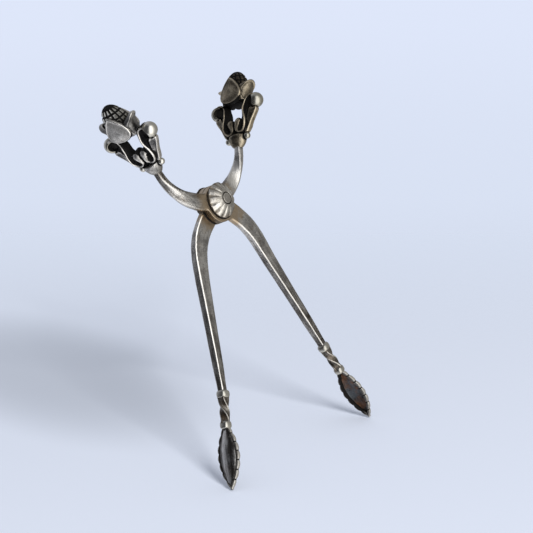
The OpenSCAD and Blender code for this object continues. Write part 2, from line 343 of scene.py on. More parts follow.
# ------------------------------------------------------------------ materials
class Tree:
    """Builds shader nodes; any input may be given as a value or as a socket to link."""

    def __init__(self, owner):
        owner.use_nodes = True
        self.nodes = owner.node_tree.nodes
        self.links = owner.node_tree.links
        self.y = 0

    def find(self, kind):
        return next(node for node in self.nodes if node.type == kind)

    def put(self, socket, value):
        if isinstance(value, bpy.types.NodeSocket):
            self.links.new(value, socket)
        else:
            socket.default_value = value

    def node(self, kind, inputs=None, **props):
        made = self.nodes.new(kind)
        self.y -= 60
        made.location = (-900 + (self.y % 7) * 90, self.y)
        for key, value in props.items():
            setattr(made, key, value)
        for key, value in (inputs or {}).items():
            self.put(made.inputs[key], value)
        return made

    def attribute(self, name, out="Fac"):
        return self.node("ShaderNodeAttribute", attribute_name=name).outputs[out]

    def coords(self, out="Object"):
        return self.node("ShaderNodeTexCoord").outputs[out]

    def math(self, operation, first, second=0.0, clamp=False):
        inputs = {0: first, 1: second, 2: 0.0}
        return self.node("ShaderNodeMath", inputs, operation=operation,
                         use_clamp=clamp).outputs[0]

    def add(self, first, second, clamp=False):
        return self.math("ADD", first, second, clamp)

    def mul(self, first, second, clamp=False):
        return self.math("MULTIPLY", first, second, clamp)

    def swing(self, value, amount):
        """A 0 to 1 value made to swing about zero by amount."""
        return self.mul(self.math("SUBTRACT", value, 0.5), amount)

    def vector(self, operation, first, second, out="Vector"):
        inputs = {0: first, 1: second}
        return self.node("ShaderNodeVectorMath", inputs, operation=operation).outputs[out]

    def ramp(self, value, span, to=(0.0, 1.0), kind="SMOOTHSTEP"):
        inputs = dict(enumerate((value, *span, *to)))
        return self.node("ShaderNodeMapRange", inputs, interpolation_type=kind).outputs[0]

    def noise(self, vector, scale, detail=3.0, rough=0.55):
        inputs = {"Vector": vector, "Scale": scale, "Detail": detail, "Roughness": rough}
        return self.node("ShaderNodeTexNoise", inputs).outputs["Fac"]

    def mix_value(self, factor, first, second):
        inputs = {0: factor, 2: first, 3: second}
        return self.node("ShaderNodeMix", inputs, data_type="FLOAT",
                         clamp_factor=True).outputs[0]

    def mix(self, factor, first, second):
        made = self.node("ShaderNodeMix", {0: factor}, data_type="RGBA", clamp_factor=True)
        for key, colour in ((6, first), (7, second)):
            is_socket = isinstance(colour, bpy.types.NodeSocket)
            self.put(made.inputs[key], colour if is_socket else (*colour, 1.0))
        return made.outputs[2]


def silver(name, *, high, mid, dark, brown, polish, rough, brown_amount, speck, streak, blotch,
           bump, seed=0.0, metal=(0.25, 1.0), gleam=0.6, grime=0.0,
           tarnish_and_shade_colour=(0.055, 0.042, 0.03), lift=0.0):
    """Aged silver: polished high points, grey body, near-black hollows, brown stain.

    Reads the vertex attributes cav (below 0 hollows and painted shade, above 0 raised edges and
    painted highlights), stain and tarnish_and_shade (0 to 1, dark tarnish and painted shade) and
    flow (mm along, across, deep).
    high, mid, dark, brown, tarnish_and_shade_colour: colours of polish, patina, hollows, stain,
    and tarnish and painted shade.
    polish: the cav span over which hollow turns to body.
    rough: roughness of hollows, body and edges. metal: metallic of hollows and body.
    speck, streak, blotch: strength of the patina's patterns; lift brightens all of it.
    gleam: polish of raised edges. grime: strength of dark spots. seed shifts the pattern.
    """
    material = bpy.data.materials.new(name)
    tree = Tree(material)
    bsdf = tree.find("BSDF_PRINCIPLED").inputs
    pos = tree.coords()
    if seed:
        pos = tree.vector("ADD", pos, (seed, seed * 1.7, -seed))
    flow = tree.attribute("flow", "Vector")
    cav, stain, tarnish_and_shade = (tree.attribute(key) for key in ("cav", "stain", "tarnish_and_shade"))

    def flow_noise(stretch, detail, rough):
        return tree.noise(tree.vector("MULTIPLY", flow, stretch), 1.0, detail, rough)

    big = tree.noise(pos, scale=210.0)
    medium = tree.noise(pos, scale=620.0, detail=4.0, rough=0.6)
    fine = tree.noise(pos, scale=2300.0, detail=3.0, rough=0.65)
    streaks = flow_noise(stretch=(0.16, 2.4, 1.6), detail=4.0, rough=0.6)
    scratches = flow_noise(stretch=(0.05, 7.5, 5.0), detail=2.0, rough=0.5)
    bands = flow_noise(stretch=(0.11, 0.85, 0.7), detail=3.0, rough=0.6)

    # roughened height, so that hollows end unevenly
    body = tree.ramp(tree.add(cav, tree.swing(medium, amount=0.06)), span=polish)
    edge = tree.ramp(cav, span=(0.05, 0.16))
    # grey patina in blotches and streaks over the body
    patina = tree.swing(big, amount=3.2 * blotch)
    for pattern, amount in ((streaks, 2.6 * streak), (bands, 2.6 * streak), (fine, 3.4 * speck)):
        patina = tree.add(patina, tree.swing(pattern, amount))
    patina = tree.add(patina, 0.5 + lift, clamp=True)
    colour = tree.mix(patina, mid, high)
    colour = tree.mix(tree.mul(edge, gleam, clamp=True), colour, high)
    # brown stain, where asked and in loose patches elsewhere
    patch = tree.add(tree.noise(pos, scale=330.0, detail=4.0, rough=0.65),
                     tree.mul(stain, 0.58))
    patch = tree.mul(tree.ramp(patch, span=(0.50, 0.98)), brown_amount, clamp=True)
    colour = tree.mix(patch, colour, brown)
    # tarnish and painted shade, thinned by the patina's own pattern
    tarnish_and_shade_mix = tree.mul(tarnish_and_shade, tree.ramp(patina, span=(0.15, 1.0), to=(1.0, 0.55)), clamp=True)
    colour = tree.mix(tarnish_and_shade_mix, colour, tarnish_and_shade_colour)
    colour = tree.mix(body, dark, colour)
    if grime > 0:
        spots = tree.ramp(medium, span=(0.60, 0.74))
        colour = tree.mix(tree.mul(spots, grime), colour, dark)
    tree.put(bsdf["Base Color"], colour)

    rough_hollow, rough_body, rough_edge = rough
    value = tree.ramp(patina, span=(0.0, 1.0), to=(rough_body + 0.10, rough_body - 0.06))
    value = tree.add(value, tree.swing(scratches, amount=0.22))
    value = tree.mix_value(tree.mul(edge, 0.8), value, rough_edge)
    value = tree.mix_value(body, rough_hollow, value)
    value = tree.add(value, tree.mul(patch, 0.14))
    value = tree.add(value, tree.mul(tarnish_and_shade_mix, 0.12), clamp=True)
    tree.put(bsdf["Roughness"], value)
    tree.put(bsdf["Specular IOR Level"],
             tree.ramp(body, span=(0.0, 1.0), to=(0.12, 0.5), kind="LINEAR"))
    tree.put(bsdf["Metallic"], tree.ramp(body, span=(0.0, 1.0), to=metal, kind="LINEAR"))

    height = tree.mul(fine, 0.5)
    for pattern, amount in ((scratches, 0.5), (medium, 0.8), (bands, 2.2)):
        height = tree.add(height, tree.mul(pattern, amount))
    bumped = tree.node("ShaderNodeBump",
                       {"Strength": bump, "Distance": 0.00012, "Height": height})
    tree.put(bsdf["Normal"], bumped.outputs[0])
    return material


BLACK = (0.010, 0.0095, 0.0095)

BAR_MAT = silver(
    "aged_silver_bar", high=(0.82, 0.80, 0.76), mid=(0.25, 0.245, 0.24),
    dark=(0.022, 0.018, 0.015), brown=(0.44, 0.335, 0.215), polish=(-0.12, -0.03),
    rough=(0.55, 0.24, 0.15), brown_amount=0.85, speck=0.72, streak=0.55, blotch=0.50,
    bump=0.55, gleam=1.0, grime=0.28)
POLISHED = silver(
    "polished_silver", high=(0.78, 0.76, 0.69), mid=(0.36, 0.35, 0.31),
    dark=(0.03, 0.027, 0.024), brown=(0.30, 0.24, 0.14), polish=(-0.12, -0.02),
    rough=(0.5, 0.25, 0.18), brown_amount=0.35, speck=0.25, streak=0.2, blotch=0.45,
    bump=0.18, tarnish_and_shade_colour=(0.14, 0.13, 0.095))
CAP_MAT = silver(
    "cap_silver", high=(0.80, 0.775, 0.71), mid=(0.29, 0.27, 0.24), dark=(0.03, 0.024, 0.018),
    brown=(0.26, 0.195, 0.12), polish=(-0.20, -0.04), rough=(0.5, 0.27, 0.17),
    brown_amount=0.7, speck=0.30, streak=0.30, blotch=0.65, bump=0.25)
BLOOM_MATS = (
    silver("oxidised_silver_bright", high=(0.80, 0.775, 0.73), mid=(0.28, 0.27, 0.25),
           dark=BLACK, brown=(0.20, 0.15, 0.10), polish=(-0.02, 0.035),
           rough=(0.6, 0.38, 0.22), brown_amount=0.22, speck=0.70, streak=0.05, blotch=0.5,
           bump=0.55, gleam=1.0, tarnish_and_shade_colour=(0.045, 0.048, 0.058)),
    silver("oxidised_silver_brown", high=(0.56, 0.485, 0.36), mid=(0.062, 0.052, 0.038),
           dark=(0.006, 0.0055, 0.005), brown=(0.24, 0.12, 0.055), polish=(-0.02, 0.05),
           rough=(0.6, 0.36, 0.24), brown_amount=0.55, speck=0.45, streak=0.05, blotch=0.8,
           bump=0.5, seed=0.31, gleam=0.9, tarnish_and_shade_colour=(0.02, 0.018, 0.015)))
BUD_MATS = (
    silver("bud_silver", high=(0.78, 0.765, 0.71), mid=(0.070, 0.064, 0.052),
           dark=(0.008, 0.0075, 0.0075), brown=(0.14, 0.10, 0.06), polish=(-0.01, 0.04),
           rough=(0.6, 0.46, 0.38), brown_amount=0.40, speck=0.45, streak=0.05, blotch=0.6,
           bump=0.5, gleam=0.9, lift=-0.30, tarnish_and_shade_colour=(0.05, 0.046, 0.035),
           metal=(0.25, 0.40)),
    silver("bud_silver_dark", high=(0.16, 0.14, 0.10), mid=(0.028, 0.024, 0.019),
           dark=(0.005, 0.0045, 0.004), brown=(0.12, 0.07, 0.035), polish=(-0.01, 0.05),
           rough=(0.6, 0.46, 0.38), brown_amount=0.40, speck=0.5, streak=0.05, blotch=0.6,
           bump=0.5, seed=0.31, gleam=0.4))
BALL_MATS = (
    POLISHED,
    silver("polished_silver_tarnished", high=(0.58, 0.56, 0.48), mid=(0.15, 0.14, 0.11),
           dark=(0.02, 0.018, 0.015), brown=(0.20, 0.13, 0.07), polish=(-0.12, -0.02),
           rough=(0.5, 0.27, 0.18), brown_amount=0.5, speck=0.3, streak=0.2, blotch=0.6,
           bump=0.2, seed=0.11))
BOWL_MATS = (
    silver("dark_bowl_rust", high=(0.12, 0.13, 0.14), mid=(0.014, 0.0135, 0.014),
           dark=(0.007, 0.0065, 0.0065), brown=(0.23, 0.10, 0.042), polish=(-0.30, -0.12),
           rough=(0.6, 0.42, 0.30), brown_amount=0.75, speck=0.85, streak=0.10, blotch=1.0,
           bump=1.0, metal=(0.2, 0.6), grime=0.75),
    silver("dark_bowl_grey", high=(0.80, 0.79, 0.775), mid=(0.07, 0.068, 0.069), dark=BLACK,
           brown=(0.14, 0.09, 0.06), polish=(-0.20, -0.05), rough=(0.6, 0.30, 0.20),
           brown_amount=0.30, speck=0.45, streak=0.6, blotch=0.6, bump=0.5, gleam=0.90,
           lift=-0.24, seed=0.17, metal=(0.2, 0.95), tarnish_and_shade_colour=(0.05, 0.045, 0.041)))
NECK_MAT = silver(
    "neck_silver", high=(0.70, 0.68, 0.63), mid=(0.060, 0.055, 0.048),
    dark=(0.015, 0.013, 0.012), brown=(0.16, 0.10, 0.05), polish=(-0.12, -0.02),
    rough=(0.5, 0.34, 0.16), brown_amount=0.5, speck=0.35, streak=0.3, blotch=0.3, bump=0.3,
    gleam=1.0, lift=-0.30)
RIM_MAT = silver(
    "rim_silver", high=(0.84, 0.82, 0.77), mid=(0.42, 0.40, 0.37), dark=(0.014, 0.013, 0.012),
    brown=(0.20, 0.14, 0.09), polish=(-0.05, 0.03), rough=(0.55, 0.28, 0.16),
    brown_amount=0.35, speck=0.25, streak=0.1, blotch=0.35, bump=0.2, metal=(0.25, 0.82))

# ------------------------------------------------------------------ blossom grip: shapes
# One quarter is drawn: it mirrors in X and in Y. X is through the faces, Z up the blossom.
BLOOM = Grid((0.0, 0.0, -5.12), (5.28, 14.08, 29.12), 0.16)
BALL_AT, BALL_RADIUS = (9.9, 13.2), 2.98     # (y, z) of the volutes' ball ends
BITE_AT = (8.4, 12.95)                       # (y, z) of the eye bitten out of each
BUD_MIDDLE = 19.0
BUD_ACROSS, BUD_DEEP = 5.95, 3.95            # the bud's radii along Y and X
PETAL_FOOT = 14.3                            # Z where the side petals begin
LEFTWARD = np.array([-0.59, 0.733, 0.339])   # towards the camera's left


def ellipsoid(x, y, z, radii):
    rx, ry, rz = radii
    near = np.sqrt((x / rx) ** 2 + (y / ry) ** 2 + (z / rz) ** 2)
    slope = np.sqrt((x / rx ** 2) ** 2 + (y / ry ** 2) ** 2 + (z / rz ** 2) ** 2)
    return near * (near - 1.0) / np.maximum(slope, 1e-6)


def relief(height, edge, soften):
    """A plate about X = 0 with that half thickness over (y, z), cut to the outline edge."""
    slope_y, slope_z = np.gradient(height, BLOOM.step)
    lean = 1.0 / np.sqrt(1.0 + slope_y ** 2 + slope_z ** 2)
    return smax((BLOOM.solid()[0] - height[None]) * lean[None], edge[None], soften)


def calyx():
    """Half dome with a turned lip."""
    x, y, z = BLOOM.solid()
    return smax(ellipsoid(x, y, z - 0.6, (2.95, 3.95, 4.95)), z - 0.85, 0.35)


def beads():
    x, y, z = BLOOM.solid()
    return np.sqrt(x ** 2 + (y - 4.8) ** 2 + z ** 2) - 1.33


# rows of (y, z)
BRACKET_STEM = [[4.9, 2.2], [6.2, 4.4], [6.1, 8.0], [6.9, 10.4], [9.1, 13.4], [4.5, 14.3],
                [3.95, 11.0], [4.05, 7.8], [3.0, 4.4]]
# rows of (y, z, radius)
BRACKET_RIDGE = [[9.6, 15.1, 0.3], [8.3, 15.55, 0.38], [6.9, 15.2, 0.42], [5.75, 14.3, 0.42],
                 [5.2, 12.9, 0.42], [4.85, 11.2, 0.42], [4.95, 9.2, 0.42], [5.5, 7.0, 0.42],
                 [5.55, 4.6, 0.42], [4.75, 2.75, 0.42], [3.35, 1.75, 0.42], [1.9, 1.95, 0.45],
                 [1.1, 3.1, 0.55]]
BRACKET_LOBE = [[1.1, 3.0, 0.5], [1.25, 4.0, 0.85], [1.65, 5.0, 1.3], [1.9, 5.9, 1.5]]


def bracket_swell(z):
    return rise(z, 1.5, 3.0) * fall(z, 13.4, 3.0)


def scroll_brackets():
    """Plate with an S ridge, a comma lobe and sunk eyes."""
    y, z = BLOOM.plane(1, 2)

    def circle(mid_y, mid_z, radius):
        return np.hypot(y - mid_y, z - mid_z) - radius

    plate = smin(circle(3.0, 3.9, 2.82), circle(1.95, 5.95, 1.72), 0.4)
    plate = smin(plate, outline(y, z, BRACKET_STEM), 0.5)
    plate = smin(plate, circle(8.0, 13.3, 2.62), 0.3)
    _, ridge = stroke(y, z, catmull(BRACKET_RIDGE, 6))
    lobe, _ = stroke(y, z, catmull(BRACKET_LOBE, 6))
    swell = bracket_swell(z)
    height = 1.45 + 0.45 * swell
    height = np.maximum(height, 2.18 + 0.62 * swell - 0.75 * (ridge / 0.50) ** 2)
    height = np.maximum(height, 2.95 - 0.70 * np.clip((lobe + 1.45) / 1.45, 0, 3) ** 2)
    eyes = np.minimum(circle(3.45, 3.65, 0.60), circle(3.95, 4.9, 0.50))
    eyes = np.minimum(eyes, circle(8.4, 13.1, 1.75))
    sunk = np.minimum(height, 1.2 + 1.9 * np.maximum(eyes, -0.3))
    height = np.clip(np.where(eyes < 0.6, sunk, height), 0.40, 2.95)
    for _ in range(4):  # soften the steps
        pad = np.pad(height, 1, mode="edge")
        height = (pad[1:-1, 1:-1] * 2 + pad[:-2, 1:-1] + pad[2:, 1:-1]
                  + pad[1:-1, :-2] + pad[1:-1, 2:]) / 6
    return relief(height, plate, 0.22)


def scroll_balls():
    """Ball ends of the volutes, with the eye bitten out of the inner side."""
    x, y, z = BLOOM.solid()
    ball = np.sqrt(x ** 2 + (y - BALL_AT[0]) ** 2 + (z - BALL_AT[1]) ** 2) - BALL_RADIUS
    bite = np.maximum(np.hypot(y - BITE_AT[0], (z - BITE_AT[1]) * 0.9) - 1.65, 0.8 - x)
    return smax(ball, -bite, 0.5)


LEAF_OUTLINE = [[4.6, 0.95], [5.85, 1.25], [7.0, 3.1], [8.1, 5.2], [9.6, 7.4], [10.7, 9.3],
                [10.45, 10.4], [9.2, 10.25], [7.9, 10.6], [6.7, 8.4], [5.7, 5.0],
                [4.6, 0.95]]  # rows of (y, z)


def leaf_outer(z):
    """Y of the side leaf's outer edge."""
    return np.interp(z, [1.25, 3.1, 5.2, 7.4, 9.3, 10.4], [5.85, 7.0, 8.1, 9.6, 10.7, 10.5])


def side_leaves():
    """Rims with a sunk middle."""
    y, z = BLOOM.plane(1, 2)
    heights = BLOOM.lines[2]
    edge = outline(y, z, catmull(LEAF_OUTLINE, 5)[:-1])
    inner = np.interp(heights, [1.0, 5.0, 8.4, 10.5], [4.6, 5.8, 6.9, 7.9])[None, :]
    outer = leaf_outer(heights)[None, :]
    out = np.clip((y - inner) / (outer - inner), 0, 1)
    rim = bell(edge + 0.38, 0.30) * rise(out, 0.35, 0.3)
    height = 1.62 - 0.85 * out - 0.10 * np.sin(np.pi * out) + 0.26 * rim
    height = height - 0.25 * fall(z, 2.6, 2.2)
    return relief(height.astype(F32), edge + 0.08, 0.25)


def bud_girth_lines(x, y, z):
    """Distances to the bud's upright and level cut lines."""
    girth = np.sqrt(np.clip(1.0 - ((z - BUD_MIDDLE) / 9.2) ** 2, 0.02, 1.0))
    turn = np.arctan2(y / BUD_ACROSS, x / BUD_DEEP)
    pitch = 2 * math.pi / 14
    upright = np.abs((turn / pitch + 0.5) % 1.0 - 0.5) * pitch * 5.0 * girth
    level = np.abs(((z - 27.2) / 2.15 + 0.5) % 1.0 - 0.5) * 2.15
    return upright, level


def bud_core():
    """Bud chequered with cut lines."""
    x, y, z = BLOOM.solid()
    bud = ellipsoid(x, y, z - BUD_MIDDLE, (BUD_DEEP, BUD_ACROSS, 9.15))
    upright, level = bud_girth_lines(x, y, z)
    cut = (0.42 * bell(upright, 0.27) * fall(z, 27.3, 1.1)
           + 0.42 * bell(level, 0.27) * fall(z, 27.0, 1.2))
    return smax(bud + np.minimum(cut, 0.44), 13.7 - z + 0.030 * (x * x + y * y * 0.6), 1.2)


def face_petals():
    """Pointed shields, crowned, with a thin raised rim, wrapped a little round the bud."""
    x = BLOOM.solid()[0]
    y, z = BLOOM.plane(1, 2)
    t = np.linspace(0, 1, 40)
    half = 5.22 * np.power(np.maximum(np.sin(np.pi * t ** 0.62), 0), 0.75)
    edge = outline(y, z, mirrored(half, 13.75 + 10.95 * t))
    crown = smooth(np.clip(-edge / 3.6, 0, 1))
    rim = bell(edge + 0.36, 0.24)
    tuck = fall(z, 16.2, 3.6)
    outer = 4.28 + 0.34 * crown + 0.17 * rim - 0.012 * y ** 2 - 0.75 * tuck
    inner = 2.7 - 0.03 * y ** 2 - 0.8 * tuck
    middle, thick = 0.5 * (outer + inner), 0.5 * (outer - inner)
    return smax(np.abs(x - middle[None]) - thick[None], edge[None], 0.22)


def petal_half(z):
    """Half width of a side petal."""
    low = 2.9 + 1.05 * rise(z, PETAL_FOOT, 2.7)
    round_tip = 1.0 - np.clip((z - 17.0) / 5.35, 0, 1) ** 2.8
    return low * np.power(np.clip(round_tip, 0, 1), 0.62)


def side_petals():
    """Broad leaves round the bud's narrow sides, sunk between raised rims, with flared tips."""
    x, z = BLOOM.plane(0, 2)
    heights = PETAL_FOOT + 8.0 * np.linspace(0, 1, 36)
    edge = outline(x, z, mirrored(petal_half(heights), heights))
    reach = 5.45 + 2.05 * rise(z, PETAL_FOOT, 7.5) + 0.30 * rise(z, 19.5, 2.5)
    wrap = np.sqrt(np.clip(1.0 - (x / 4.55) ** 2, 0.05, 1.0))
    lean = 1.0 / np.sqrt(1.0 + (reach * x / 4.55 ** 2 / wrap) ** 2)
    lip = rise(z, 18.5, 2.0)
    thick = 0.46 + (0.06 + 0.12 * lip) * bell(edge + 0.36, 0.28) + 0.22 * lip
    thick = thick * (1 - 0.45 * rise(x, 2.7, 1.1))
    sink = 0.30 * rise(-edge, 0.60, 0.5)
    middle = (reach * wrap - 0.5 * sink / lean)[:, None, :]
    shell = (np.abs(BLOOM.solid()[1] - middle) * lean[:, None, :]
             - (thick - 0.5 * sink)[:, None, :])
    return smax(shell, edge[:, None, :], 0.25)


# ------------------------------------------------------------------ blossom grip: wear and painted light
# Each takes (cav, verts, norms, faces) and gives cav and the tarnish and painted shade of the
# front and back piece.
def facing_in(verts, norms):
    """1 on faces turned towards Y = 0."""
    return rise(-norms[:, 1] * np.sign(verts[:, 1]), 0.15, 0.5)


def under_shade(verts, norms):
    """Painted shade on the undersides at the foot of the bud and petals."""
    return 0.5 * rise(-norms[:, 2], 0.45, 0.25) * fall(verts[:, 2], 17.0, 1.0)


def wear_calyx(cav, verts, norms, faces):
    tarnish_and_shade = np.clip(0.34 + 0.42 * noise(verts, 1.1, 31) + 0.3 * noise(verts, 2.6, 32), 0, 0.8)
    return cav, tarnish_and_shade, tarnish_and_shade


def wear_beads(cav, verts, norms, faces):
    clean = np.zeros(len(verts))
    return cav + 0.10, clean, clean


def wear_brackets(cav, verts, norms, faces):
    x, _, z = verts.T
    walls = fall(np.abs(norms[:, 0]), 0.75, 0.4)
    sunk = fall(np.abs(x), 1.84 + 0.52 * bracket_swell(z), 0.45)
    cav = cav - 0.30 * walls * facing_in(verts, norms) - 0.05 * walls - 0.22 * sunk
    clean = np.zeros(len(verts))
    return ease(cav, faces), clean, clean


def wear_and_shade_balls(cav, verts, norms, faces):
    x, y, z = verts.T
    from_middle = np.hypot(np.hypot(np.abs(y) - BALL_AT[0], z - BALL_AT[1]), x)
    cav = cav + 0.10 - 0.5 * fall(from_middle, 2.75, 0.35) - 0.3 * fall(np.abs(y), 7.9, 0.8)
    # painted shade on the side of each ball turned towards the middle
    tarnish_and_shade = 0.80 * fall(norms[:, 1] * np.sign(y), 0.30, 0.55)
    return cav, tarnish_and_shade, tarnish_and_shade


def wear_leaves(cav, verts, norms, faces):
    _, y, z = verts.T
    face = np.abs(norms[:, 0])
    from_edge = np.minimum(leaf_outer(z) - np.abs(y), 10.35 - z)
    tarnish_and_shade = 0.78 * (rise(from_edge, 0.62, 0.35) * rise(face, 0.45, 0.3))
    return cav - 0.2 * facing_in(verts, norms) * fall(face, 0.6, 0.3) + 0.03, tarnish_and_shade, tarnish_and_shade


def wear_and_light_bud(cav, verts, norms, faces):
    z = verts[:, 2]
    # painted shade: the lower bud is darkened, deepest at its foot
    cav = cav - 0.045 - 0.12 * fall(z, 17.5, 3.0) - 0.5 * fall(z, 15.4, 0.8)
    # painted highlight on the tiles turned towards the camera's left, painted shade on the other
    # tiles; the cut lines between tiles are kept dark
    lit = rise(turn_y(norms, GRIP[1]) @ LEFTWARD, 0.12, 0.40) * rise(z, 17.0, 2.0)
    tile = rise(np.minimum(*bud_girth_lines(*verts.T)), 0.26, 0.22)
    cav = cav + 0.17 * lit * tile - 0.10 * (1 - tile)
    tarnish_and_shade = 0.82 * (1 - lit * tile)
    return cav - under_shade(verts, norms), tarnish_and_shade, tarnish_and_shade


def tone_and_shade_face_petals(cav, verts, norms, faces):
    clean = np.zeros(len(verts))
    # the undersides get painted shade
    return cav + 0.02 - under_shade(verts, norms), clean, clean


def wear_and_shade_side_petals(cav, verts, norms, faces):
    x, y, z = verts.T
    half = petal_half(z)
    from_edge = half - np.abs(x)
    inward = facing_in(verts, norms)
    # painted shade on the faces turned towards the camera's left, on top of the dark sunk middles
    leftward = rise(turn_y(norms, GRIP[1]) @ LEFTWARD, 0.10, 0.4)
    sunk = np.maximum(rise(from_edge, 0.60, 0.45), fall(z, 19.0, 1.5)) * fall(z, 21.3, 1.2)
    tarnish_and_shade = 0.76 * np.maximum(sunk, 0.95 * leftward) * (inward < 0.3)
    cav = cav - 0.20 * inward * rise(from_edge, 0.3, 0.5) + 0.04
    # one long edge of each petal is darkened, more so on the front arm
    edge = rise(x * np.sign(y) - half, -1.25, 0.5) * fall(z, 21.9, 0.9)
    return (cav - under_shade(verts, norms),
            np.maximum(tarnish_and_shade, 0.80 * edge), np.maximum(tarnish_and_shade, 0.5 * edge))


# name, shape, wear and painted light, (front, back) materials, slot
BLOOM_PARTS = [
    ("calyx", calyx, wear_calyx, BLOOM_MATS, "aged_silver_bar"),
    ("calyx_beads", beads, wear_beads, BALL_MATS, "polished_silver"),
    ("scroll_brackets", scroll_brackets, wear_brackets, BLOOM_MATS, "oxidised_silver"),
    ("scroll_balls", scroll_balls, wear_and_shade_balls, BALL_MATS, "polished_silver"),
    ("side_leaves", side_leaves, wear_leaves, BLOOM_MATS, "oxidised_silver"),
    ("bud_core", bud_core, wear_and_light_bud, BUD_MATS, "oxidised_silver"),
    ("face_petals", face_petals, tone_and_shade_face_petals, BLOOM_MATS, "polished_silver"),
    ("side_petals", side_petals, wear_and_shade_side_petals, BLOOM_MATS, "oxidised_silver"),
]


def unfold(field):
    """The whole field from its quarter."""
    field = np.concatenate([field[:0:-1], field], 0)
    return np.ascontiguousarray(np.concatenate([field[:, :0:-1], field], 1))


def make_blossoms():
    step = BLOOM.step
    low = np.array([-(BLOOM.count[0] - 1) * step, -(BLOOM.count[1] - 1) * step, BLOOM.low[2]])
    fields = [unfold(shape().astype(F32)) for _, shape, _, _, _ in BLOOM_PARTS]
    whole = np.clip(np.minimum.reduce(fields), -1.2, 1.2)
    near, wide = blur(whole, 1), blur(whole, 4)
    for field, (name, _, wear_and_light, mats, slot) in zip(fields, BLOOM_PARTS):
        verts, faces, norms = mesh_field(field, low, step)
        # raised or hollow, from the blurred field at two sizes
        cav = 1.1 * sample(near, low, step, verts) + 0.55 * sample(wide, low, step, verts)
        verts = verts - norms * (0.035 * (1 + noise(verts, 1.9, 3)) * 0.5)[:, None]
        cav, tarnish_and_shade, tarnish_and_shade_back = wear_and_light(cav, verts, norms, faces)
        attrs = dict(cav=cav, stain=np.zeros(len(verts)), tarnish_and_shade=tarnish_and_shade, flow=verts[:, ::-1])
        both(name, mats, (verts, faces), GRIP, attrs, norms,
             attrs_back={**attrs, "tarnish_and_shade": tarnish_and_shade_back})


# ------------------------------------------------------------------ arms
def bezier(points, count):
    """Points, unit tangents and parameters of a cubic curve."""
    t = np.linspace(0, 1, count)[:, None]
    a, b, c, d = np.array(points, float)
    s = 1 - t
    curve = s ** 3 * a + 3 * s * s * t * b + 3 * s * t * t * c + t ** 3 * d
    slope = 3 * s * s * (b - a) + 6 * s * t * (c - b) + 3 * t * t * (d - c)
    return curve, unit(slope), t[:, 0]


def nearest(grid, curve):
    """(x, z) of each column of the grid and its nearest curve point, found in chunks."""
    grid_x, grid_z = np.meshgrid(grid.lines[0], grid.lines[2], indexing="ij")
    points = np.stack([grid_x.ravel(), grid_z.ravel()], 1).astype(F32)
    curve = curve.astype(F32)
    found = np.empty(len(points), np.int64)
    square = (curve * curve).sum(1)
    for i in range(0, len(points), 20000):
        some = points[i:i + 20000]
        found[i:i + 20000] = np.argmin(square[None] - 2 * (some @ curve.T), axis=1)
    return points, found


def swept_bar(grid, path, tangents, *sections):
    """Field of a chamfered bar swept along a path in XZ, its thickness along Y.

    sections, one value per path point: half width, half thickness, Y offset, twist, chamfer.
    Also gives, per grid column, the distances along and across, and the sections there.
    """
    crown = 0.07
    points, near = nearest(grid, path[:, [0, 2]])
    rel = points - path[near][:, [0, 2]]
    ahead = tangents[near][:, [0, 2]]
    aside = np.stack([ahead[:, 1], -ahead[:, 0]], 1)
    steps = np.linalg.norm(np.diff(path, axis=0), axis=1)
    length = np.concatenate([[0], np.cumsum(steps)])
    shape = (grid.count[0], grid.count[2])
    across = (rel * aside).sum(1)
    beyond = (rel * ahead).sum(1)
    along = (length[near] + beyond).reshape(shape)
    across, beyond = across.reshape(shape), beyond.reshape(shape)
    sections = [values[near].reshape(shape) for values in sections]

    within = np.hypot(rel[:, 0], rel[:, 1]).reshape(shape) < 7.5
    ix, iz = np.nonzero((np.abs(across) < sections[0] + 2.2) & within)
    half, thick, offset, twist, chamfer = (values[ix, iz][:, None] for values in sections)
    side = across[ix, iz][:, None]
    deep = grid.lines[1][None, :] - offset
    cos, sin = np.cos(twist), np.sin(twist)
    wide = side * cos + deep * sin
    deep = -side * sin + deep * cos
    dist = smax(np.abs(wide) - half + crown * (deep / thick) ** 2,
                np.abs(deep) - thick + crown * (wide / half) ** 2, 0.10)
    corner = (np.abs(wide) + np.abs(deep) - (half + thick - chamfer)) * 0.70711
    dist = smax(dist, corner, 0.14)
    at_end = np.isin(near.reshape(shape)[ix, iz], (0, len(path) - 1))
    end = np.where(at_end, np.abs(beyond[ix, iz]), 0.0)[:, None]
    field = np.full(grid.count, 2.0, F32)
    field[ix, :, iz] = np.clip(np.maximum(dist, end - 0.05), -2.0, 2.0)
    return field, along, across, sections


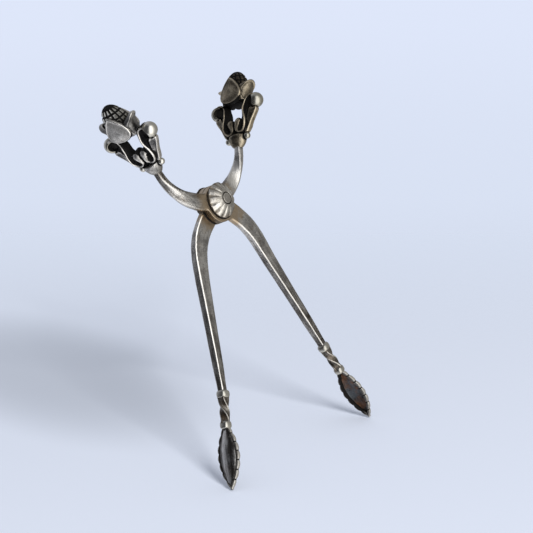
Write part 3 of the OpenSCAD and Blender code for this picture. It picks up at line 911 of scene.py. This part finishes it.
def leg_bar(grid, bow):
    """Curved from the hub, then straight to the top of the neck."""
    curve, tangents, _ = bezier([[4.6, 0, -4.4], [12.6 + bow, 0, -10.4],
                                 [17.4 + bow, 0, -17.0], [20.2 + bow, 0, -27.5]], 260)
    run = NECK_TOP - curve[-1]
    part = np.linspace(0, 1, 320)[1:, None]
    path = np.vstack([curve, curve[-1] + part * run])
    tangents = np.vstack([tangents, np.tile(run / np.linalg.norm(run), (len(part), 1))])
    # ease the corner where the curve meets the straight run
    kernel = np.ones(61) / 61
    tangents = unit(np.stack([
        np.convolve(np.pad(tangents[:, j], 30, mode="edge"), kernel, mode="valid")
        for j in range(3)], 1))
    radius = np.linalg.norm(path, axis=1)
    half = 0.5 * np.interp(radius, [6, 17, 24, 32, 42, 52, 62, 70, 76],
                           [7.6, 6.8, 5.9, 5.0, 4.2, 3.5, 2.95, 2.7, 2.7])
    full = rise(radius, 12.0, 14.0) * fall(radius, 74.0, 12.0)  # fuller along the middle
    offset = -ARM_OFFSET * (1 - rise(-path[:, 2], 9, 16))
    chamfer = np.interp(radius, [10, 36, 72], [0.54, 0.48, 0.40])
    return swept_bar(grid, path, tangents, half + 0.06 + 0.20 * full, 1.45 + 0.22 * full,
                     offset, np.zeros(len(path)), chamfer)


def shank_bar(grid, sweep):
    """Handle shank, twisted a quarter turn."""
    path, tangents, t = bezier(
        [[-4.6, 0, 0.9], [-15 + 0.3 * sweep, 0, 2.2 + 0.9 * sweep],
         [-21.7 + 0.85 * sweep, 0, 8.6 + 0.5 * sweep], [-25.0, 0, 18.1]], 420)
    half = 0.5 * (6.6 + (SHANK_END - 6.6) * rise(t, 0.12, 0.83))
    thick = 0.5 * (HUB_THICK + (SHANK_END - HUB_THICK) * smooth(t * 1.15))
    offset = -ARM_OFFSET * (1 - rise(t, 0.25, 0.6))
    twist = -np.radians(90.0) * rise(t, 0.2, 0.75)
    return swept_bar(grid, path, tangents, half, thick, offset, twist, np.full(len(path), 0.60))


def make_arm(body, bow, sweep, rub_polish_and_highlight, shank_polish_and_highlight, face_dull, scratching, rub_darkening):
    """bow and sweep, in mm, push the leg's and the shank's curve; the rest set the wear and the
    painted highlights.
    """
    grid = Grid((-28.0, -3.6, -69.0), (35.0, 2.2, 20.6), 0.2)
    low, step = grid.low, grid.step
    leg, leg_along, leg_across, _ = leg_bar(grid, bow)
    shank, shank_along, shank_across, sections = shank_bar(grid, sweep)
    # hub: disc round the rivet with a thicker cheek below, bored for the rivet
    x, y, z = grid.solid()
    slab = np.abs(y - (HUB_BACK - HUB_THICK / 2)) - HUB_THICK / 2
    disc = smax(np.hypot(x, z) - 6.5, slab, 0.35)
    cheek = smax(np.hypot(x + 0.63, z + 0.9) - 7.25, slab, 0.35)
    field = smin(smin(smin(disc, cheek, 0.4), leg, 1.1), shank, 1.1)
    field = np.where(np.hypot(x, z) < 10.0, np.maximum(field, slab), field)
    field = np.maximum(field, 1.68 - np.hypot(x, z)).astype(F32)

    verts, faces, norms = mesh_field(field, low, step)
    cav = 0.9 * sample(blur(np.clip(field, -1.0, 1.0), 1), low, step, verts)
    # slight unevenness of forged faces
    uneven = 0.035 * (1 + noise(verts, 4.0, 5)) + 0.012 * (1 + noise(verts, 1.4, 8))
    verts = verts - norms * uneven[:, None]

    x, y, z = verts.T
    column = np.round((verts[:, [0, 2]] - low[[0, 2]]) / step).astype(int)
    column = np.clip(column, 0, np.array([grid.count[0] - 1, grid.count[2] - 1]))
    column = tuple(column.T)
    on_leg = x > 0
    on_shank = ~on_leg
    along = np.where(on_leg, leg_along[column], -shank_along[column])
    across = np.where(on_leg, leg_across[column], shank_across[column])
    radius = np.hypot(x, z)

    # dark line between the discs, and a dark ring on the disc round the foot of the cap
    gap = bell(y - HUB_BACK, 0.35) * fall(radius, 9.5, 1.5)
    ring = bell(radius - 6.95, 0.25) * (norms[:, 1] < -0.7)
    cav = cav - 0.35 * gap - 0.30 * ring
    flat = np.abs(norms[:, 1])
    oblique = np.minimum(flat, np.sqrt(np.clip(1 - flat ** 2, 0, 1)))
    rub = rise(oblique, 0.36, 0.2) * on_leg * rise(radius, 8.5, 2.0)
    # the rubbed chamfer is brightened: polish, and a painted highlight line
    cav = cav + rub_polish_and_highlight * rub
    # the rubbed chamfer is rounded, so it catches the light the whole way up
    norms[:, 2] *= 1.0 - 0.85 * rub
    norms = unit(norms)

    half, thick, offset, twist = (values[column] for values in sections[:4])
    deep = y - offset
    wide = across * np.cos(twist) + deep * np.sin(twist)
    deep = -across * np.sin(twist) + deep * np.cos(twist)
    corner = rise(np.abs(wide) + np.abs(deep), half + thick - 0.76, 0.1)
    corner = corner * on_shank * rise(radius, 9.0, 2.0)
    cav = cav + 0.14 * corner
    inner = rise(wide / half, 0.80, 0.14) * on_shank * rise(radius, 7.4, 1.5)
    inner = inner * (1 - 0.8 * corner)
    calyx_end = rise(radius, 26.5, 4.0) * on_shank
    wall = fall(np.abs(norms[:, 1]), 0.55, 0.3) * fall(radius, 9.0, 0.8) * fall(z, 2.0, 3.0)
    # painted highlight, with polish: the shank's middle, away from its inner edge, is brightened
    cav = cav + (shank_polish_and_highlight * rise(radius, 12.0, 4.0) * fall(radius, 25.0, 4.0) * on_shank
                 * (1 - inner))
    lower = rise(radius, 30.0, 34.0)
    clear = on_leg * rise(radius, 12.0, 6.0)
    face = rise(flat, 0.84, 0.10) * clear * (1 - rub)
    dull = face * (0.24 + 0.58 * lower) * (0.85 + 0.5 * noise(verts, 3.0, 21))
    # painted shade on the leg's side faces, deeper towards the lower end
    side_face_shade = (0.35 + 0.35 * lower) * fall(flat, 0.4, 0.2) * clear
    scratch = rise(noise(np.stack([0.22 * along, across, y], 1), 1.5, 23), 0.05, 0.5)
    scratch = 0.55 * scratch * on_shank * rise(radius, 9.0, 3.0) * (1 - corner) * scratching
    tarnish_and_shade = np.clip(0.85 * inner + 0.72 * calyx_end + 0.80 * wall + dull * face_dull + side_face_shade
                   + scratch + rub_darkening * rub * (0.6 + 0.5 * noise(verts, 3.5, 25)), 0, 1)
    attrs = dict(cav=cav, stain=fall(radius, 15.0, 7.0), tarnish_and_shade=tarnish_and_shade,
                 flow=np.stack([along, across, y], 1))
    piece(f"{body}_arm", body, BAR_MAT, (verts, faces), PIVOT, attrs, norms,
          turned=body == "back")


# ------------------------------------------------------------------ cap and rivet
def capped(verts, cols, ends=None, flip=False):
    """Closes rings of cols points into a skin, with a fan to one point at each end."""
    rings = len(verts) // cols
    if ends is None:
        ends = [verts[:cols].mean(0), verts[-cols:].mean(0)]
    i, j = (part.ravel() for part in np.meshgrid(np.arange(rings - 1), np.arange(cols),
                                                 indexing="ij"))
    after = (j + 1) % cols
    quads = np.stack([i * cols + j, i * cols + after,
                      (i + 1) * cols + after, (i + 1) * cols + j], 1)
    j = np.arange(cols)
    after = (j + 1) % cols
    last = (rings - 1) * cols
    first_fan = np.stack([np.full(cols, len(verts)), after, j], 1)
    last_fan = np.stack([np.full(cols, len(verts) + 1), last + j, last + after], 1)
    if flip:
        quads = quads[:, [0, 3, 2, 1]]
        first_fan, last_fan = first_fan[:, [0, 2, 1]], last_fan[:, [0, 2, 1]]
    faces = quads.tolist() + first_fan.tolist() + last_fan.tolist()
    return np.vstack([verts, ends]), faces


def lathe(radius, height):
    """Turns rows of points round the Y axis, height towards -Y."""
    cols = radius.shape[1]
    angle = np.linspace(0, 2 * np.pi, cols, endpoint=False)
    verts = np.stack([radius * np.cos(angle), -height, radius * np.sin(angle)], -1)
    return capped(verts.reshape(-1, 3), cols, flip=True)


def dense(points, gap):
    points = np.array(points, float)
    out = [points[0]]
    for a, b in zip(points[:-1], points[1:]):
        count = max(1, int(np.linalg.norm(b - a) / gap))
        out += [a + (b - a) * (i + 1) / count for i in range(count)]
    return np.array(out)


def round_path(points, radius, count):
    """Rounds the corners of an open path."""
    points = np.array(points, float)
    out = [points[0]]
    for a, b, c in zip(points[:-2], points[1:-1], points[2:]):
        to_a, to_c = a - b, c - b
        len_a, len_c = np.linalg.norm(to_a), np.linalg.norm(to_c)
        cut = min(radius, 0.45 * len_a, 0.45 * len_c)
        start, end = b + to_a / len_a * cut, b + to_c / len_c * cut
        for t in np.linspace(0, 1, count):
            out.append((1 - t) ** 2 * start + 2 * t * (1 - t) * b + t * t * end)
    out.append(points[-1])
    return np.array(out)


# rows of (radius, height)
CAP_PROFILE = [(0.02, 0.0), (6.15, 0.0), (6.3, 0.36), (6.86, 0.42), (6.87, 0.85), (6.45, 1.25),
               (5.5, 2.2), (4.05, 3.15), (2.95, 3.64), (2.40, 3.69), (2.34, 2.82), (0.02, 2.80)]
RIVET_HALF = [(0.02, 6.63), (1.85, 6.61), (2.05, 6.48), (2.05, 5.76), (1.59, 5.74), (1.59, 0.0)]
CAP_FLUTES = 12
CAP_LIFT = 2.90     # how far the foot of a cap stands off the middle


def make_caps():
    """Fluted caps over the hub, front and rear."""
    cols = 288
    profile = round_path(CAP_PROFILE, 0.22, 5)
    profile = np.vstack([profile[:3], dense(profile[3:-3], 0.16), profile[-3:]])
    radius, height = (np.repeat(profile[:, k:k + 1], cols, 1) for k in (0, 1))
    top = (height > 0.5) & (radius > 2.75)
    width = np.interp(radius, [2.8, 6.6], [0.12, 0.66])
    depth = np.interp(radius, [2.8, 3.8, 6.3, 6.86], [0.0, 0.14, 0.42, 0.30])
    pitch = 2 * np.pi / CAP_FLUTES
    angle = np.linspace(0, 2 * np.pi, cols, endpoint=False)
    off = (angle / pitch + 0.35) % 1.0 - 0.5
    groove = np.where(top, depth * bell(np.abs(off) * pitch * radius, width), 0.0)
    # lands swell a little between the flutes
    land = 0.05 * np.cos(2 * np.pi * off) * np.interp(radius, [2.8, 6], [0, 1])
    sink = groove + np.where(top, land, 0.0)
    verts, faces = lathe(radius - sink * 0.45 - np.where(top, 0.02, 0),
                         height - sink * np.where(height > 0.8, 0.8, 0.0))
    groove = np.concatenate([groove.ravel(), [0, 0]])
    x, y, z = verts.T
    radius = np.hypot(x, z)
    cav = (0.06 - 0.17 * smooth(groove / 0.30) - 0.40 * (radius < 2.42)
           - 0.5 * rise(y, -0.52, 0.12) * (radius > 5.9))
    attrs = dict(cav=cav, stain=0.5 * smooth(groove / 0.4) + 0.3 * rise(radius, 5.8, 1.0),
                 flow=np.stack([radius * 1.2, np.arctan2(z, x) * 4.0, y], 1))
    verts = verts + np.array([0, -CAP_LIFT, 0])
    for name, turned in (("front_cap", False), ("rear_cap", True)):
        piece(name, "front", CAP_MAT, (verts, faces), PIVOT, attrs,
              weighted=True, turned=turned)


def make_rivet():
    """Shank with two flat closed heads, faintly turned."""
    half = round_path(RIVET_HALF, 0.10, 4)
    half = np.vstack([dense(half[:4], 0.2), half[4:]])
    profile = np.vstack([half, (half * [1, -1])[::-1][1:]])[::-1]
    verts, faces = lathe(*(np.repeat(profile[:, k:k + 1], 96, 1) for k in (0, 1)))
    x, y, z = verts.T
    radius = np.hypot(x, z)
    y += np.sign(y) * -0.02 * (0.5 + 0.5 * np.sin(radius * 9.0)) * (np.abs(y) > 6.4)
    attrs = dict(cav=0.03 - 0.30 * rise(radius, 1.95, 0.08), stain=np.full(len(verts), 0.1),
                 flow=np.stack([np.arctan2(z, x), radius * 2, y], 1))
    piece("pivot_rivet", "front", CAP_MAT, (verts, faces), PIVOT, attrs,
          weighted=True)


# ------------------------------------------------------------------ collars and necks
def cushion(half_wide, half_high):
    """A cushion-shaped knop: square in plan with rounded sides."""
    rows, cols = 40, 64

    def squared(value, power):
        return np.sign(value) * np.abs(value) ** power

    rise_angle, turn = np.meshgrid(np.linspace(-np.pi / 2, np.pi / 2, rows + 2)[1:-1],
                                   np.linspace(0, 2 * np.pi, cols, endpoint=False),
                                   indexing="ij")
    reach = half_wide * squared(np.cos(rise_angle), 0.70)
    verts = np.stack([(reach * squared(np.cos(turn), 0.72)).ravel(),
                      (reach * squared(np.sin(turn), 0.72)).ravel(),
                      (half_high * squared(np.sin(rise_angle), 0.70)).ravel()], 1)
    return capped(verts, cols, ends=[[0, 0, -half_high], [0, 0, half_high]])


def make_collars():
    length = 3.3
    for name, width, at in (("upper_collar", 4.3, UPPER_NECK),
                            ("lower_collar", 3.8, LOWER_NECK)):
        verts, faces = cushion(width / 2 * 1.02, length / 2)
        ends = np.abs(verts[:, 2]) / (length / 2)
        attrs = dict(cav=0.07 - 0.26 * rise(ends, 0.78, 0.22), stain=0.2 * ends,
                     flow=verts[:, [1, 2, 0]])
        both(name, (POLISHED, POLISHED), (verts, faces), at, attrs)


def ring_section(side):
    """Points round a square with rounded corners and hollowed flats, and their cav."""
    radius = 0.30
    flat = side / 2 - radius
    points, cav = [], []
    # corner signs, start angle, then the outward and running direction of the next flat
    for cx, cy, start, out, run in ((1, 1, 0, (0, 1), (-1, 0)), (-1, 1, 90, (-1, 0), (0, -1)),
                                    (-1, -1, 180, (0, -1), (1, 0)), (1, -1, 270, (1, 0), (0, 1))):
        for k in range(5):
            angle = math.radians(start + 90 * k / 4)
            points.append((cx * flat + radius * math.cos(angle),
                           cy * flat + radius * math.sin(angle)))
            cav.append(0.14)
        for part in (-0.5, 0.0, 0.5):
            shift = flat * part * 1.2
            reach = side / 2 - 0.10 * (1 - abs(part))
            points.append((out[0] * reach + run[0] * shift, out[1] * reach + run[1] * shift))
            cav.append(-0.035)
    return np.array(points), np.array(cav)


def make_necks():
    """Square bars, waisted and twisted."""
    steps = 72
    rings, cavs, flows = [], [], []
    for i in range(steps + 1):
        t = i / steps
        section, cav = ring_section(3.35 + (2.85 - 3.35) * math.sin(math.pi * t))
        angle = -math.radians(130.0) * float(smooth(np.array((t - 0.08) / 0.84)))
        level = np.full(len(section), 0.6 + (NECK_LEN - 1.2) * t)
        cos, sin = math.cos(angle), math.sin(angle)
        x, y = section.T
        rings.append(np.stack([x * cos - y * sin, x * sin + y * cos, level], 1))
        cavs.append(cav - 0.12 * max(0.0, 1 - min(t, 1 - t) / 0.14))
        flows.append(np.stack([level, np.arange(len(section)) * 0.4, 0 * level], 1))
    verts, faces = capped(np.concatenate(rings), len(section))
    attrs = dict(cav=np.concatenate(cavs + [[0.0, 0.0]]), stain=np.full(len(verts), 0.35),
                 flow=np.vstack(flows + [np.zeros((2, 3))]))
    both("twisted_neck", (NECK_MAT, NECK_MAT), (verts, faces), UPPER_NECK,
         attrs, weighted=True)


# ------------------------------------------------------------------ jaws
# X is through the jaw, negative on the domed outside; Z runs down it from the neck.
JAW_GRID = Grid((-2.6, -5.88, -1.0), (1.8, 5.88, 24.8), 0.14)
JAW_LEN, JAW_WIDE = 23.6, 10.2
JAW_LOBES = 7
LEAF_START = 0.4
LEAF_LEN = JAW_LEN - 1.6
LEAF_HALF = (JAW_WIDE - 2.6) / 2


def jaw_half(z):
    t = np.clip((z + 0.8) / (JAW_LEN + 0.8), 0, 1)
    return JAW_WIDE / 2 * np.power(np.clip(np.sin(np.pi * t), 0, 1), 0.82)


def lobes(z):
    """0 at the cuts between the border's lobes, 1 at the middle of each."""
    return np.abs(np.sin(np.pi * JAW_LOBES * z / JAW_LEN))


def border_field():
    """Lobed rim."""
    y, z = JAW_GRID.plane(1, 2)
    down = np.linspace(0, JAW_LEN, 160)
    outer = np.maximum(0.45, jaw_half(down) - 0.42 * (1 - lobes(down) ** 0.6) - 0.03)
    inner = np.maximum(0.12, jaw_half(down) - 1.55)
    outer = outline(y, z, mirrored(outer, down))
    kept = (down > 1.2) & (down < JAW_LEN - 1.2)
    inner = outline(y, z, mirrored(inner[kept], down[kept]))
    bead = lobes(np.clip(z, 0, JAW_LEN))
    thick = (0.80 - 0.24 * (1 - bead ** 0.5) * rise(inner, 0.2, 1.0)
             - 0.20 * fall(inner, 1.0, 0.8))
    slab = np.abs(JAW_GRID.solid()[0] - 0.05) - np.clip(thick, 0.42, 0.80)[None]
    return smax(smax(slab, outer[None], 0.50), -inner[None], 0.20).astype(F32)


def leaf_field():
    """Leaf domed outside and hollow inside."""
    y, z = JAW_GRID.plane(1, 2)
    t = np.clip((z - LEAF_START) / LEAF_LEN, 0.0, 1.0)
    half = LEAF_HALF * np.power(np.maximum(np.sin(np.pi * t), 1e-6), 0.8) + 0.12
    full = half / LEAF_HALF
    arch = np.sqrt(np.clip(1 - (y / half) ** 2, 0, 1))
    outside = -(0.30 + 1.35 * full * arch ** 1.1)
    inside = 0.26 - 0.35 * (1 - full) - 1.05 * full * arch
    ends = np.maximum(LEAF_START + 0.02 * LEAF_LEN - z, z - (LEAF_START + 0.98 * LEAF_LEN))
    edge = np.maximum((np.abs(y) - half) * 0.9, ends)
    middle, thick = 0.5 * (outside + inside), 0.5 * (inside - outside)
    shell = (np.abs(JAW_GRID.solid()[0] - middle[None]) - thick[None]) * 0.9
    return smax(shell, edge[None], 0.15).astype(F32)


def wear_and_shade_border(cav, verts, norms):
    """Only the outer edge is rubbed bright; the inner wall and the cuts stay black."""
    _, y, z = verts.T
    rim = rise(np.abs(y), jaw_half(z) - 0.95, 0.45)
    cav = cav - 0.10 * (1 - rim) - 0.24 * (1 - smooth(lobes(z) / 0.38)) + 0.01
    tarnish_and_shade = np.maximum(0.95 * (1 - rim), 0.85 * rise(np.abs(norms[:, 0]), 0.34, 0.3))
    # painted shade on the half of the rim away from the camera
    side, side_back = rise(y, 0.4, 0.8), rise(-y, 0.4, 0.8)
    return (verts, (cav - 0.11 * side, cav - 0.08 * side_back),
            (np.maximum(tarnish_and_shade, 0.90 * side), np.maximum(tarnish_and_shade, 0.80 * side_back)))


def wear_and_highlight_leaf(cav, verts, norms):
    """Pitting of the hollow side, and a painted highlight streak down the domed one."""
    down = verts[:, 2]
    hollow = rise(norms[:, 0], 0.2, 0.3)
    pits = 0.20 * (1 + noise(verts, 1.5, 11)) + 0.12 * (1 + noise(verts, 0.7, 12))
    verts = verts - norms * (hollow * pits)[:, None]
    t = np.clip((down - LEAF_START) / LEAF_LEN, 0.02, 0.98)
    off = verts[:, 1] / (LEAF_HALF * np.power(np.sin(np.pi * t), 0.8) + 0.12)
    tarnish_and_shade = (1 - hollow) * smooth(
        (np.abs(off + 0.10) - 0.30 + 0.10 * noise(verts, 2.5, 17)) / 0.40)
    # painted highlight: a lengthwise streak a little off the middle of the dome
    highlight_streak = bell(off + 0.20 + 0.08 * noise(verts, 4.5, 15), 0.24)
    highlight_streak = highlight_streak * (0.75 + 0.55 * noise(verts, 3.2, 16))
    highlight_streak = highlight_streak * rise(down, 1.5, 3.0) * fall(down, JAW_LEN - 3.5, 5.0)
    cav = cav + 0.03 + (1 - hollow) * (-0.03 + 0.36 * highlight_streak)
    return verts, (cav, cav), (tarnish_and_shade, tarnish_and_shade)


def make_jaws():
    low, step = JAW_GRID.low, JAW_GRID.step
    border, leaf = border_field(), leaf_field()
    whole = np.clip(np.minimum(border, leaf), -1.2, 1.2)
    near, wide = blur(whole, 1), blur(whole, 4)
    # name, field, wear and painted light, materials, slot, how much of the stain it takes
    for name, field, wear_and_light, mats, slot, staining in (
            ("jaw_border", border, wear_and_shade_border, (RIM_MAT, RIM_MAT), "polished_silver", 0.5),
            ("jaw_leaf", leaf, wear_and_highlight_leaf, BOWL_MATS, "dark_bowl", 1.0)):
        verts, faces, norms = mesh_field(field, low, step)
        cav = sample(near, low, step, verts) + 0.45 * sample(wide, low, step, verts)
        down = verts[:, 2].copy()
        verts, cavs, tarnish_and_shade_pair = wear_and_light(cav, verts, norms)
        verts = verts - norms * (0.02 * (1 + noise(verts, 1.6, 7)))[:, None]
        stain = np.clip(0.18 + 0.55 * noise(verts, 3.6, 13) + 0.35 * noise(verts, 1.5, 14)
                        + 0.30 * fall(down, 9.0, 8.0), 0, 1) * staining
        front, back = (dict(cav=cav, stain=stain, tarnish_and_shade=tarnish_and_shade, flow=verts[:, ::-1])
                       for cav, tarnish_and_shade in zip(cavs, tarnish_and_shade_pair))
        both(name, mats, (verts, faces), JAW, front, norms, attrs_back=back)


make_blossoms()
make_arm("front", bow=-1.3, sweep=-0.7, rub_polish_and_highlight=0.09, shank_polish_and_highlight=0.0, face_dull=1.35,
         scratching=1.0, rub_darkening=0.42)
make_arm("back", bow=1.9, sweep=0.9, rub_polish_and_highlight=0.26, shank_polish_and_highlight=0.15, face_dull=1.0,
         scratching=0.35, rub_darkening=0.0)
make_caps()
make_rivet()
make_collars()
make_necks()
make_jaws()

# ------------------------------------------------------------------ camera
CAM_AHEAD = Vector((0.7730891559, 0.6337916194, -0.02532469695))
CAM_RIGHT = Vector((0.5898203546, -0.7329940052, -0.3388683189))
CAM_DOWN = Vector((-0.2333347517, 0.2470384009, -0.9404929145))
CAM_AT = Vector((-551.5350769, -465.3971095 + PLACE[1], -11.12288453)) * MM
UP = Vector((0.0, -0.42, 0.908)).normalized()   # the true vertical: the tongs lean
LEVEL_AHEAD = (CAM_AHEAD - CAM_AHEAD.dot(UP) * UP).normalized()
LEVEL_RIGHT = LEVEL_AHEAD.cross(UP).normalized()


def make_camera():
    data = bpy.data.cameras.new("Camera")
    data.sensor_fit = "HORIZONTAL"
    data.sensor_width = 36.0
    data.lens = 129.91075328
    data.shift_x, data.shift_y = -0.00093808630, 0.00093808630
    data.clip_start, data.clip_end = 0.02, 20.0
    camera = bpy.data.objects.new("Camera", data)
    bpy.context.scene.collection.objects.link(camera)
    axes = zip(CAM_RIGHT, -CAM_DOWN, -CAM_AHEAD, CAM_AT)
    camera.matrix_world = Matrix((*axes, (0, 0, 0, 1)))
    bpy.context.scene.camera = camera


# ------------------------------------------------------------------ floor
FLOOR_RADIUS = 2.2
# Sight lines from the camera as (right, down) slopes against straight ahead
SIGHT_FAR = (-0.000519913, -0.03951336)     # where the floor has all but faded
SIGHT_MID = (-0.000519913, 0.06966830)      # where it starts to fade
SIGHT_SHADE = (-0.11178122, 0.05511074)     # middle of the shade
SIGHT_SHADE_RIGHT = (-0.04003327, 0.06862847)
SIGHT_SHADE_FAR = (-0.11178122, 0.03119476)


def floor_level():
    """Height of the lower jaw tip along the true vertical, from the CAD jaws."""
    return min(UP.dot(vert.co) for name in ("front_jaw_border", "back_jaw_border")
               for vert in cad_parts[name].data.vertices)


def floor_material(level, centre):
    """Pale floor that fades out into the backdrop, with a broad, soft shade on the left."""
    material = bpy.data.materials.new("floor_pale")
    tree = Tree(material)
    bsdf = tree.find("BSDF_PRINCIPLED")
    bsdf.inputs["Base Color"].default_value = (0.80, 0.835, 0.905, 1)
    bsdf.inputs["Roughness"].default_value = 1.0
    bsdf.inputs["Specular IOR Level"].default_value = 0.0
    pale = tree.mix(tree.noise(tree.coords(), scale=4.0, detail=2.0),
                    (0.79, 0.845, 0.975), (0.80, 0.855, 0.985))
    geometry = tree.node("ShaderNodeNewGeometry").outputs
    away = tree.vector("DISTANCE", geometry["Position"], tuple(centre), out="Value")
    fade = tree.ramp(away, span=(0.30, 0.95), to=(1.0, 0.0))

    def seen(sight):
        """The floor point on a sight line."""
        ray = CAM_AHEAD + CAM_RIGHT * sight[0] + CAM_DOWN * sight[1]
        return CAM_AT + (level - UP.dot(CAM_AT)) / UP.dot(ray) * ray

    def measure(direction, start):
        dot = tree.vector("DOT_PRODUCT", geometry["Position"], tuple(direction), out="Value")
        return tree.math("SUBTRACT", dot, start)

    # behind the tongs the floor melts into the backdrop sooner
    span = (LEVEL_AHEAD.dot(seen(SIGHT_MID)), LEVEL_AHEAD.dot(seen(SIGHT_FAR)))
    behind = tree.ramp(measure(LEVEL_AHEAD, 0.0), span=span, to=(1.0, 0.12))
    fade = tree.mul(fade, behind)
    # the shade is an ellipse: each axis measures 1 at its own sight line
    middle = seen(SIGHT_SHADE)
    right, far = seen(SIGHT_SHADE_RIGHT) - middle, seen(SIGHT_SHADE_FAR) - middle
    right_sq, cross, far_sq = right.dot(right), right.dot(far), far.dot(far)
    area = right_sq * far_sq - cross * cross
    axes = ((right * far_sq - far * cross) / area, (far * right_sq - right * cross) / area)
    parts = [measure(axis, axis.dot(middle)) for axis in axes]
    spread = tree.add(*(tree.mul(part, part) for part in parts))
    shade = tree.ramp(spread, span=(0.0, 1.9), to=(0.27, 0.0))
    fade = tree.mul(fade, tree.math("SUBTRACT", 1.0, geometry["Backfacing"]))
    tree.put(bsdf.inputs["Base Color"], tree.mix(shade, pale, (0.02, 0.03, 0.04)))
    # the silver does not mirror the floor
    path = tree.node("ShaderNodeLightPath").outputs
    fade = tree.mul(fade, tree.math("SUBTRACT", 1.0, path["Is Glossy Ray"]))
    clear = tree.node("ShaderNodeBsdfTransparent")
    mixed = tree.node("ShaderNodeMixShader",
                      {0: fade, 1: clear.outputs[0], 2: bsdf.outputs[0]})
    tree.put(tree.find("OUTPUT_MATERIAL").inputs["Surface"], mixed.outputs[0])
    return material


def make_floor():
    """Disc under the jaw tips, square to the true vertical."""
    segments = 96
    level = floor_level()
    centre = UP * level
    verts = [tuple(centre)]
    for k in range(segments):
        angle = 2 * math.pi * k / segments
        spoke = math.cos(angle) * LEVEL_RIGHT + math.sin(angle) * LEVEL_AHEAD
        verts.append(tuple(centre + FLOOR_RADIUS * spoke))
    data = bpy.data.meshes.new("floor")
    data.from_pydata(verts, [], [(0, 1 + k, 1 + (k + 1) % segments) for k in range(segments)])
    data.update()
    floor = bpy.data.objects.new("floor", data)
    bpy.context.scene.collection.objects.link(floor)
    data.materials.append(floor_material(level, centre))


# ------------------------------------------------------------------ world and key light
BACKDROP_LOW, BACKDROP_TOP = (0.652, 0.725, 0.850), (0.737, 0.799, 0.956)
AMBIENT = (0.43, 0.443, 0.468)
# What the silver mirrors: (bearing in degrees, brightness). 0 is towards the camera, and
# positive bearings are to its right.
STUDIO = [(-180, 0.36), (-160, 0.52), (-130, 0.52), (-108, 0.44), (-88, 0.17), (-60, 0.09),
          (-28, 0.09), (-12, 0.26), (0, 1.05), (10, 1.75), (44, 1.75), (60, 1.0), (78, 0.50),
          (100, 0.35), (145, 0.32), (180, 0.36)]
STUDIO_SCALE = 2.0   # keeps the ramp's colours below 1


def make_world():
    """A backdrop for the camera, plain ambient for the floor and a studio for the silver."""
    world = bpy.data.worlds.new("studio")
    bpy.context.scene.world = world
    tree = Tree(world)
    tree.nodes.clear()
    path = tree.node("ShaderNodeLightPath").outputs
    coords = tree.node("ShaderNodeTexCoord").outputs
    right, ahead, up = (
        tree.vector("DOT_PRODUCT", coords["Generated"], tuple(axis), out="Value")
        for axis in (LEVEL_RIGHT, LEVEL_AHEAD, UP))
    window = tree.node("ShaderNodeSeparateXYZ", {0: coords["Window"]}).outputs
    backdrop = tree.mix(window["Y"], BACKDROP_LOW, BACKDROP_TOP)

    bearing = tree.math("ARCTAN2", right, tree.mul(ahead, -1.0))
    bearing = tree.ramp(bearing, span=(-math.pi, math.pi), kind="LINEAR")
    studio = tree.node("ShaderNodeValToRGB", {0: bearing})
    ramp = studio.color_ramp
    ramp.interpolation = "EASE"
    while len(ramp.elements) < len(STUDIO):
        ramp.elements.new(0.5)
    for stop, (degrees, bright) in zip(ramp.elements, STUDIO):
        stop.position = (degrees + 180.0) / 360.0
        stop.color = (*[bright / STUDIO_SCALE] * 3, 1.0)
    glow = tree.mul(studio.outputs["Color"], STUDIO_SCALE)

    def blend(factor, first, second):
        return tree.add(tree.mul(first, tree.math("SUBTRACT", 1.0, factor)),
                        tree.mul(second, factor))

    overhead, below = 0.36, 0.85    # brightness straight up and straight down
    glow = blend(tree.ramp(up, span=(0.80, 0.985)), glow, overhead)
    glow = blend(tree.ramp(up, span=(-0.86, -0.70), to=(1.0, 0.0)), glow, below)
    # cool on the left, warm on the right
    tint = tree.mix(tree.ramp(right, span=(-0.8, 0.8)), (0.92, 0.95, 1.05), (1.0, 0.985, 0.96))
    mirrored_light = tree.node("ShaderNodeVectorMath", {0: tint, "Scale": glow},
                               operation="SCALE").outputs[0]
    colour = tree.mix(path["Is Glossy Ray"], AMBIENT, mirrored_light)
    colour = tree.mix(path["Is Camera Ray"], colour, backdrop)
    background = tree.node("ShaderNodeBackground", {"Color": colour, "Strength": 1.0})
    tree.node("ShaderNodeOutputWorld", {"Surface": background.outputs[0]})


def make_key():
    """Soft disc light from above, behind the camera and to its right."""
    elevation = math.radians(38)
    direction = ((0.42 * LEVEL_RIGHT - 0.86 * LEVEL_AHEAD).normalized() * math.cos(elevation)
                 + UP * math.sin(elevation)).normalized()
    data = bpy.data.lights.new("key", "AREA")
    data.shape = "DISK"
    data.size = 0.80
    data.energy = 34.0
    data.color = (1.0, 0.985, 0.955)
    key = bpy.data.objects.new("key", data)
    target, distance = Vector((0, 0, -0.03)), 2.2
    key.location = target + direction * distance
    key.rotation_mode = "QUATERNION"
    key.rotation_quaternion = (-direction).to_track_quat("-Z", "Y")
    bpy.context.scene.collection.objects.link(key)
    key.visible_glossy = False


make_camera()
make_floor()
make_world()
make_key()

bpy.context.scene.view_settings.view_transform = "Standard"
bpy.context.scene.view_settings.look = "None"
